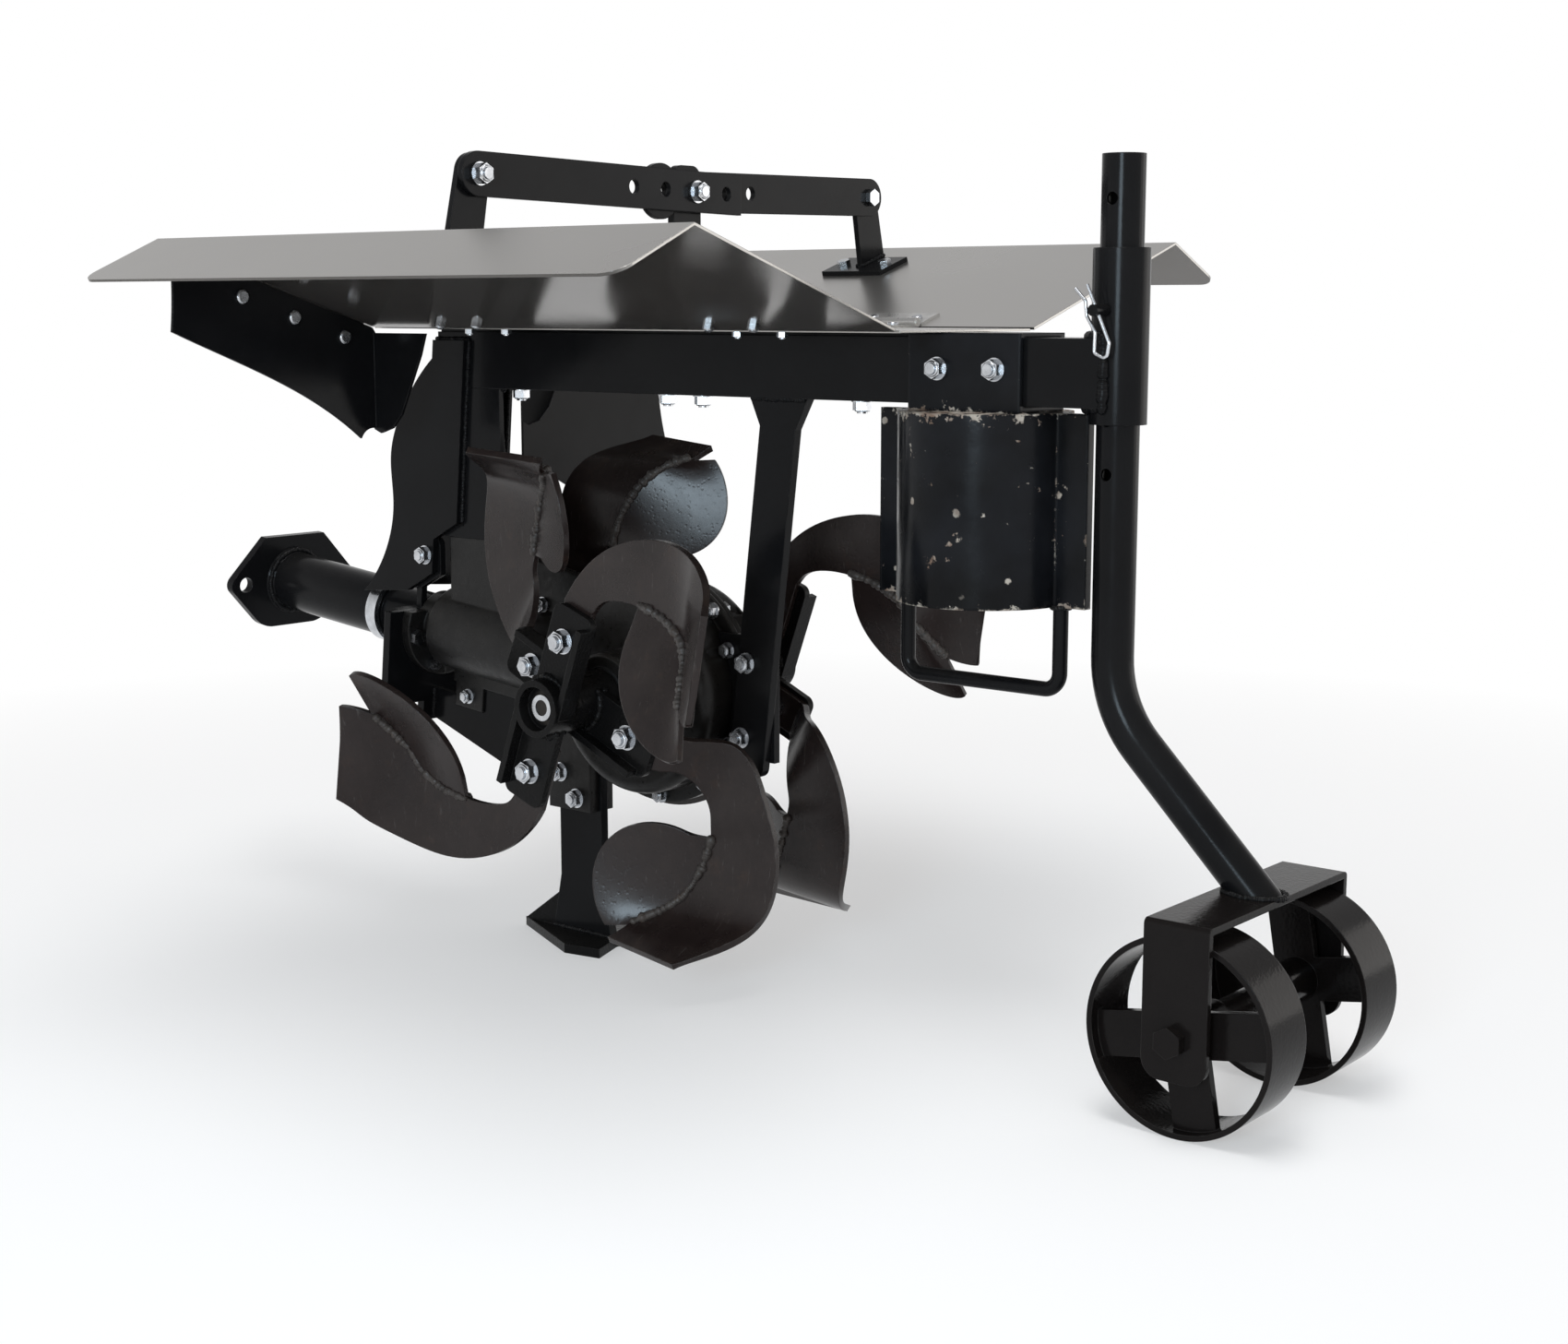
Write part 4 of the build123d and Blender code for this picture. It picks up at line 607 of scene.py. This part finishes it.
# Shields, link bars, feet and mast: cut black plate; each link foot is welded to its
# upright and bolted through the wing.
coat_nodes(gloss_black, "shield_left", "shield_right", "link_left", "link_right", "link_foot_left",
           "link_foot_right", "link_mast")
lock_nuts("collar_mast", "link_left", [((0, -0.672, 0.436), Vector((0, -1, 0)), m10)])
mast_half, mast_foot = 0.019, 0.3105
seams = [[(-mast_half, y, mast_foot), (mast_half, y, mast_foot)] for y in (-0.6500, -0.6408)]
weld("weld_mast", seams, 0.005, "frame", gloss_black)
for side, body, layer in ((-1, "wing_left", (-0.6563, -0.6491)), (1, "wing_right", (-0.6500, -0.6428))):
    seams = [[on_wing(side, out, y, 0.0006) for out in (0.191, 0.231)] for y in layer]
    weld("weld_foot_" + body, seams, 0.005, body, gloss_black, 0.5, 6)

# Ballast: a round steel weight on a plate, hung in a strap under the beam; its enamel
# is chipped to primer and rust along the rims and flecked all over.


def chipped_enamel(name, low, high, loss):
    """Black enamel that flakes most at two levels, and is knocked through in round spots."""
    material, tree, paint = new_finish(name)
    spot = where(tree)
    worn = use(tree, rubbed_edges, Radius=0.004, Gain=4.0, Patch_Scale=60.0)
    film = use(tree, settled_dust, Scale=9.0, Reach=0.10)
    level = place(tree, "ShaderNodeSeparateXYZ", None, Vector=spot).outputs["Z"]
    upper = stretch(tree, level, high - 0.014, high)
    rims = sums(tree, "MAXIMUM", upper, stretch(tree, level, low + 0.012, low))
    ragged = cloud(tree, spot, 70.0, 7.0, 0.72)
    zones = cloud(tree, spot, 11.0, 3.0)
    loose = sums(tree, "ADD", ragged, sums(tree, "MULTIPLY", zones, 0.34))
    loose = sums(tree, "ADD", loose, sums(tree, "MULTIPLY", rims, 0.17))
    edges = sums(tree, "ADD", loose, sums(tree, "MULTIPLY", worn["Mask"], 0.14))
    flakes = stretch(tree, edges, 0.825 - loss, 0.845 - loss)
    knocks = place(tree, "ShaderNodeTexVoronoi", {"feature": "F1"}, Vector=spot, Scale=42.0)
    chance = place(tree, "ShaderNodeSeparateColor", None, Color=knocks.outputs["Color"])
    blunt = sums(tree, "ADD", knocks.outputs["Distance"], sums(tree, "MULTIPLY", ragged, 0.5))
    struck = stretch(tree, chance.outputs[0], 0.72, 0.74)
    spots = sums(tree, "MULTIPLY", stretch(tree, blunt, 0.40, 0.36), struck)
    chips = sums(tree, "MAXIMUM", flakes, spots)
    tint = stretch(tree, cloud(tree, spot, 45.0, 3.0), 0.40, 0.62)
    primer = shade(tree, tint, (0.40, 0.36, 0.31), (0.17, 0.115, 0.085))
    black = shade(tree, stretch(tree, zones, 0.3, 0.7), (0.0028, 0.0030, 0.0036), (0.0085, 0.0095, 0.0120))
    tree.links.new(shade(tree, film["Mask"], shade(tree, chips, black, primer), (0.15, 0.14, 0.12)),
                   paint.inputs["Base Color"])
    rough = stretch(tree, cloud(tree, spot, 26.0, 5.0), 0.3, 0.7, 0.13, 0.3)
    matt = sums(tree, "MULTIPLY", chips, 0.5)
    tree.links.new(sums(tree, "ADD", rough, matt, True), paint.inputs["Roughness"])
    runs = sums(tree, "MULTIPLY", cloud(tree, spot, 45.0), 0.6)
    skin = sums(tree, "SUBTRACT", runs, sums(tree, "MULTIPLY", chips, 0.4))
    relief(tree, paint, skin, 0.3, 0.0012, worn["Normal"])
    paint.inputs["Specular IOR Level"].default_value = 0.10
    return material


coat_nodes(chipped_enamel("chipped black enamel", 0.058, 0.231, 0.0), "ballast_weight")
coat_nodes(chipped_enamel("chipped strap enamel", 0.231, 0.330, -0.05), "ballast_clamp")
handle_round, weight_low = 0.0075, 0.0575
seams = []
for y in (-1.0955, -0.9265):
    centre = Vector((0, y, weight_low))
    seams.append(hoop(centre, right, Vector((0, 1, 0)), handle_round, handle_round, count=16))
weld("weld_handle", seams, 0.005, "frame", gloss_black, 0.4, 3)

# Gauge post, fork, axle and wheels: bent tube and rolled flat bar, welded and dipped
# in enamel that ran a little before it dried, so its gloss is wavy.
coat_nodes(gloss_black, "gauge_post")
dipped_black = black_enamel("dipped black enamel", (0.0046, 0.0038, 0.0036), 0.03, 0.07, 0.25)
coat_nodes(dipped_black, "wheel_fork", "wheel_left", "wheel_right", "wheel_axle")
post_foot = hoop(Vector((0, -1.296, -0.1725)), right, Vector((0, 1, 0)), 0.0203, 0.0282)
weld("weld_fork", [post_foot], 0.006, "wheel_post", gloss_black, 0.3, 5)

# Studio: pale floor at the level of the treads, a soft sky, a cool window beside the
# camera and two large lamps, and the camera where the photograph was taken.
floor_mesh = bpy.data.meshes.new("floor")
floor_level = -0.3603
corners = [(x, y, floor_level) for x, y in ((-14, -14), (14, -14), (14, 14), (-14, 14))]
floor_mesh.from_pydata(corners, [], [(0, 1, 2, 3)])
floor = bpy.data.objects.new("floor", floor_mesh)
bpy.context.scene.collection.objects.link(floor)
pale, tree, board = new_finish("pale floor")
spot = where(tree)
paper_tone = shade(tree, cloud(tree, spot, 0.8, 2.0), (0.90, 0.90, 0.90), (0.93, 0.93, 0.93))
tree.links.new(paper_tone, board.inputs["Base Color"])
board.inputs["Roughness"].default_value = 0.9
board.inputs["Specular IOR Level"].default_value = 0.1
ray = place(tree, "ShaderNodeLightPath").outputs
mirrored = sums(tree, "MAXIMUM", ray["Is Glossy Ray"], ray["Is Transmission Ray"])
seen = sums(tree, "MAXIMUM", ray["Is Camera Ray"], mirrored)
away = place(tree, "ShaderNodeVectorMath", {"operation": "DISTANCE"})
tree.links.new(spot, away.inputs[0])
away.inputs[1].default_value = (0.0, -0.7, floor_level)
open_floor = stretch(tree, away.outputs["Value"], 0.7, 2.2, 0.4, 1.0)
paper = place(tree, "ShaderNodeEmission", None, Color=(1, 1, 1, 1), Strength=1.0)
blend = place(tree, "ShaderNodeMixShader", None, Fac=sums(tree, "MULTIPLY", seen, open_floor))
tree.links.new(board.outputs[0], blend.inputs[1])
tree.links.new(paper.outputs[0], blend.inputs[2])
tree.links.new(blend.outputs[0], tree.nodes["Material Output"].inputs["Surface"])
floor_mesh.materials.append(pale)

sky = bpy.data.worlds.new("soft sky")
sky.use_nodes = True
tree = sky.node_tree
glow = tree.nodes["Background"]
aim = place(tree, "ShaderNodeTexCoord")
rise = place(tree, "ShaderNodeSeparateXYZ", None, Vector=aim.outputs["Generated"])
lift = stretch(tree, rise.outputs["Z"], 0.16, 0.75)
tree.links.new(shade(tree, lift, (1.0, 1.0, 1.0), (0.30, 0.30, 0.31)), glow.inputs["Color"])
glow.inputs["Strength"].default_value = 1.0
bpy.context.scene.world = sky


def soft_lamp(name, spot, aim, wide, high, watts, tint):
    """Soft box that points at the machine."""
    lamp = bpy.data.lights.new(name, "AREA")
    lamp.shape = "RECTANGLE"
    lamp.size = wide
    lamp.size_y = high
    lamp.energy = watts
    lamp.color = tint
    holder = bpy.data.objects.new(name, lamp)
    holder.location = spot
    holder.rotation_euler = (Vector(aim) - Vector(spot)).to_track_quat("-Z", "Y").to_euler()
    bpy.context.scene.collection.objects.link(holder)


machine = (0.0, -0.7, 0.05)
soft_lamp("lamp_over", (-0.6, -1.2, 3.2), machine, 1.2, 2.6, 70, (1.0, 1.0, 1.0))
soft_lamp("window_left", (-2.91, -2.07, 0.68), (0.0, -0.6, 0.05), 0.75, 0.95, 42, (0.70, 0.87, 1.0))
soft_lamp("lamp_right", (2.35, -2.75, 0.40), machine, 1.8, 1.3, 9, (1.0, 0.96, 0.92))

camera = bpy.data.cameras.new("camera")
camera.sensor_fit = "HORIZONTAL"
camera.sensor_width = 36.0
camera.lens = 51.49
camera.clip_end = 60.0
stand = bpy.data.objects.new("camera", camera)
stand.location = (-1.69837, -2.16979, 0.32565)
look = Vector((0.7624, 0.6266, -0.1616))
stand.rotation_euler = look.to_track_quat("-Z", "Y").to_euler()
bpy.context.scene.collection.objects.link(stand)
bpy.context.scene.camera = stand
bpy.context.scene.view_settings.view_transform = "Standard"
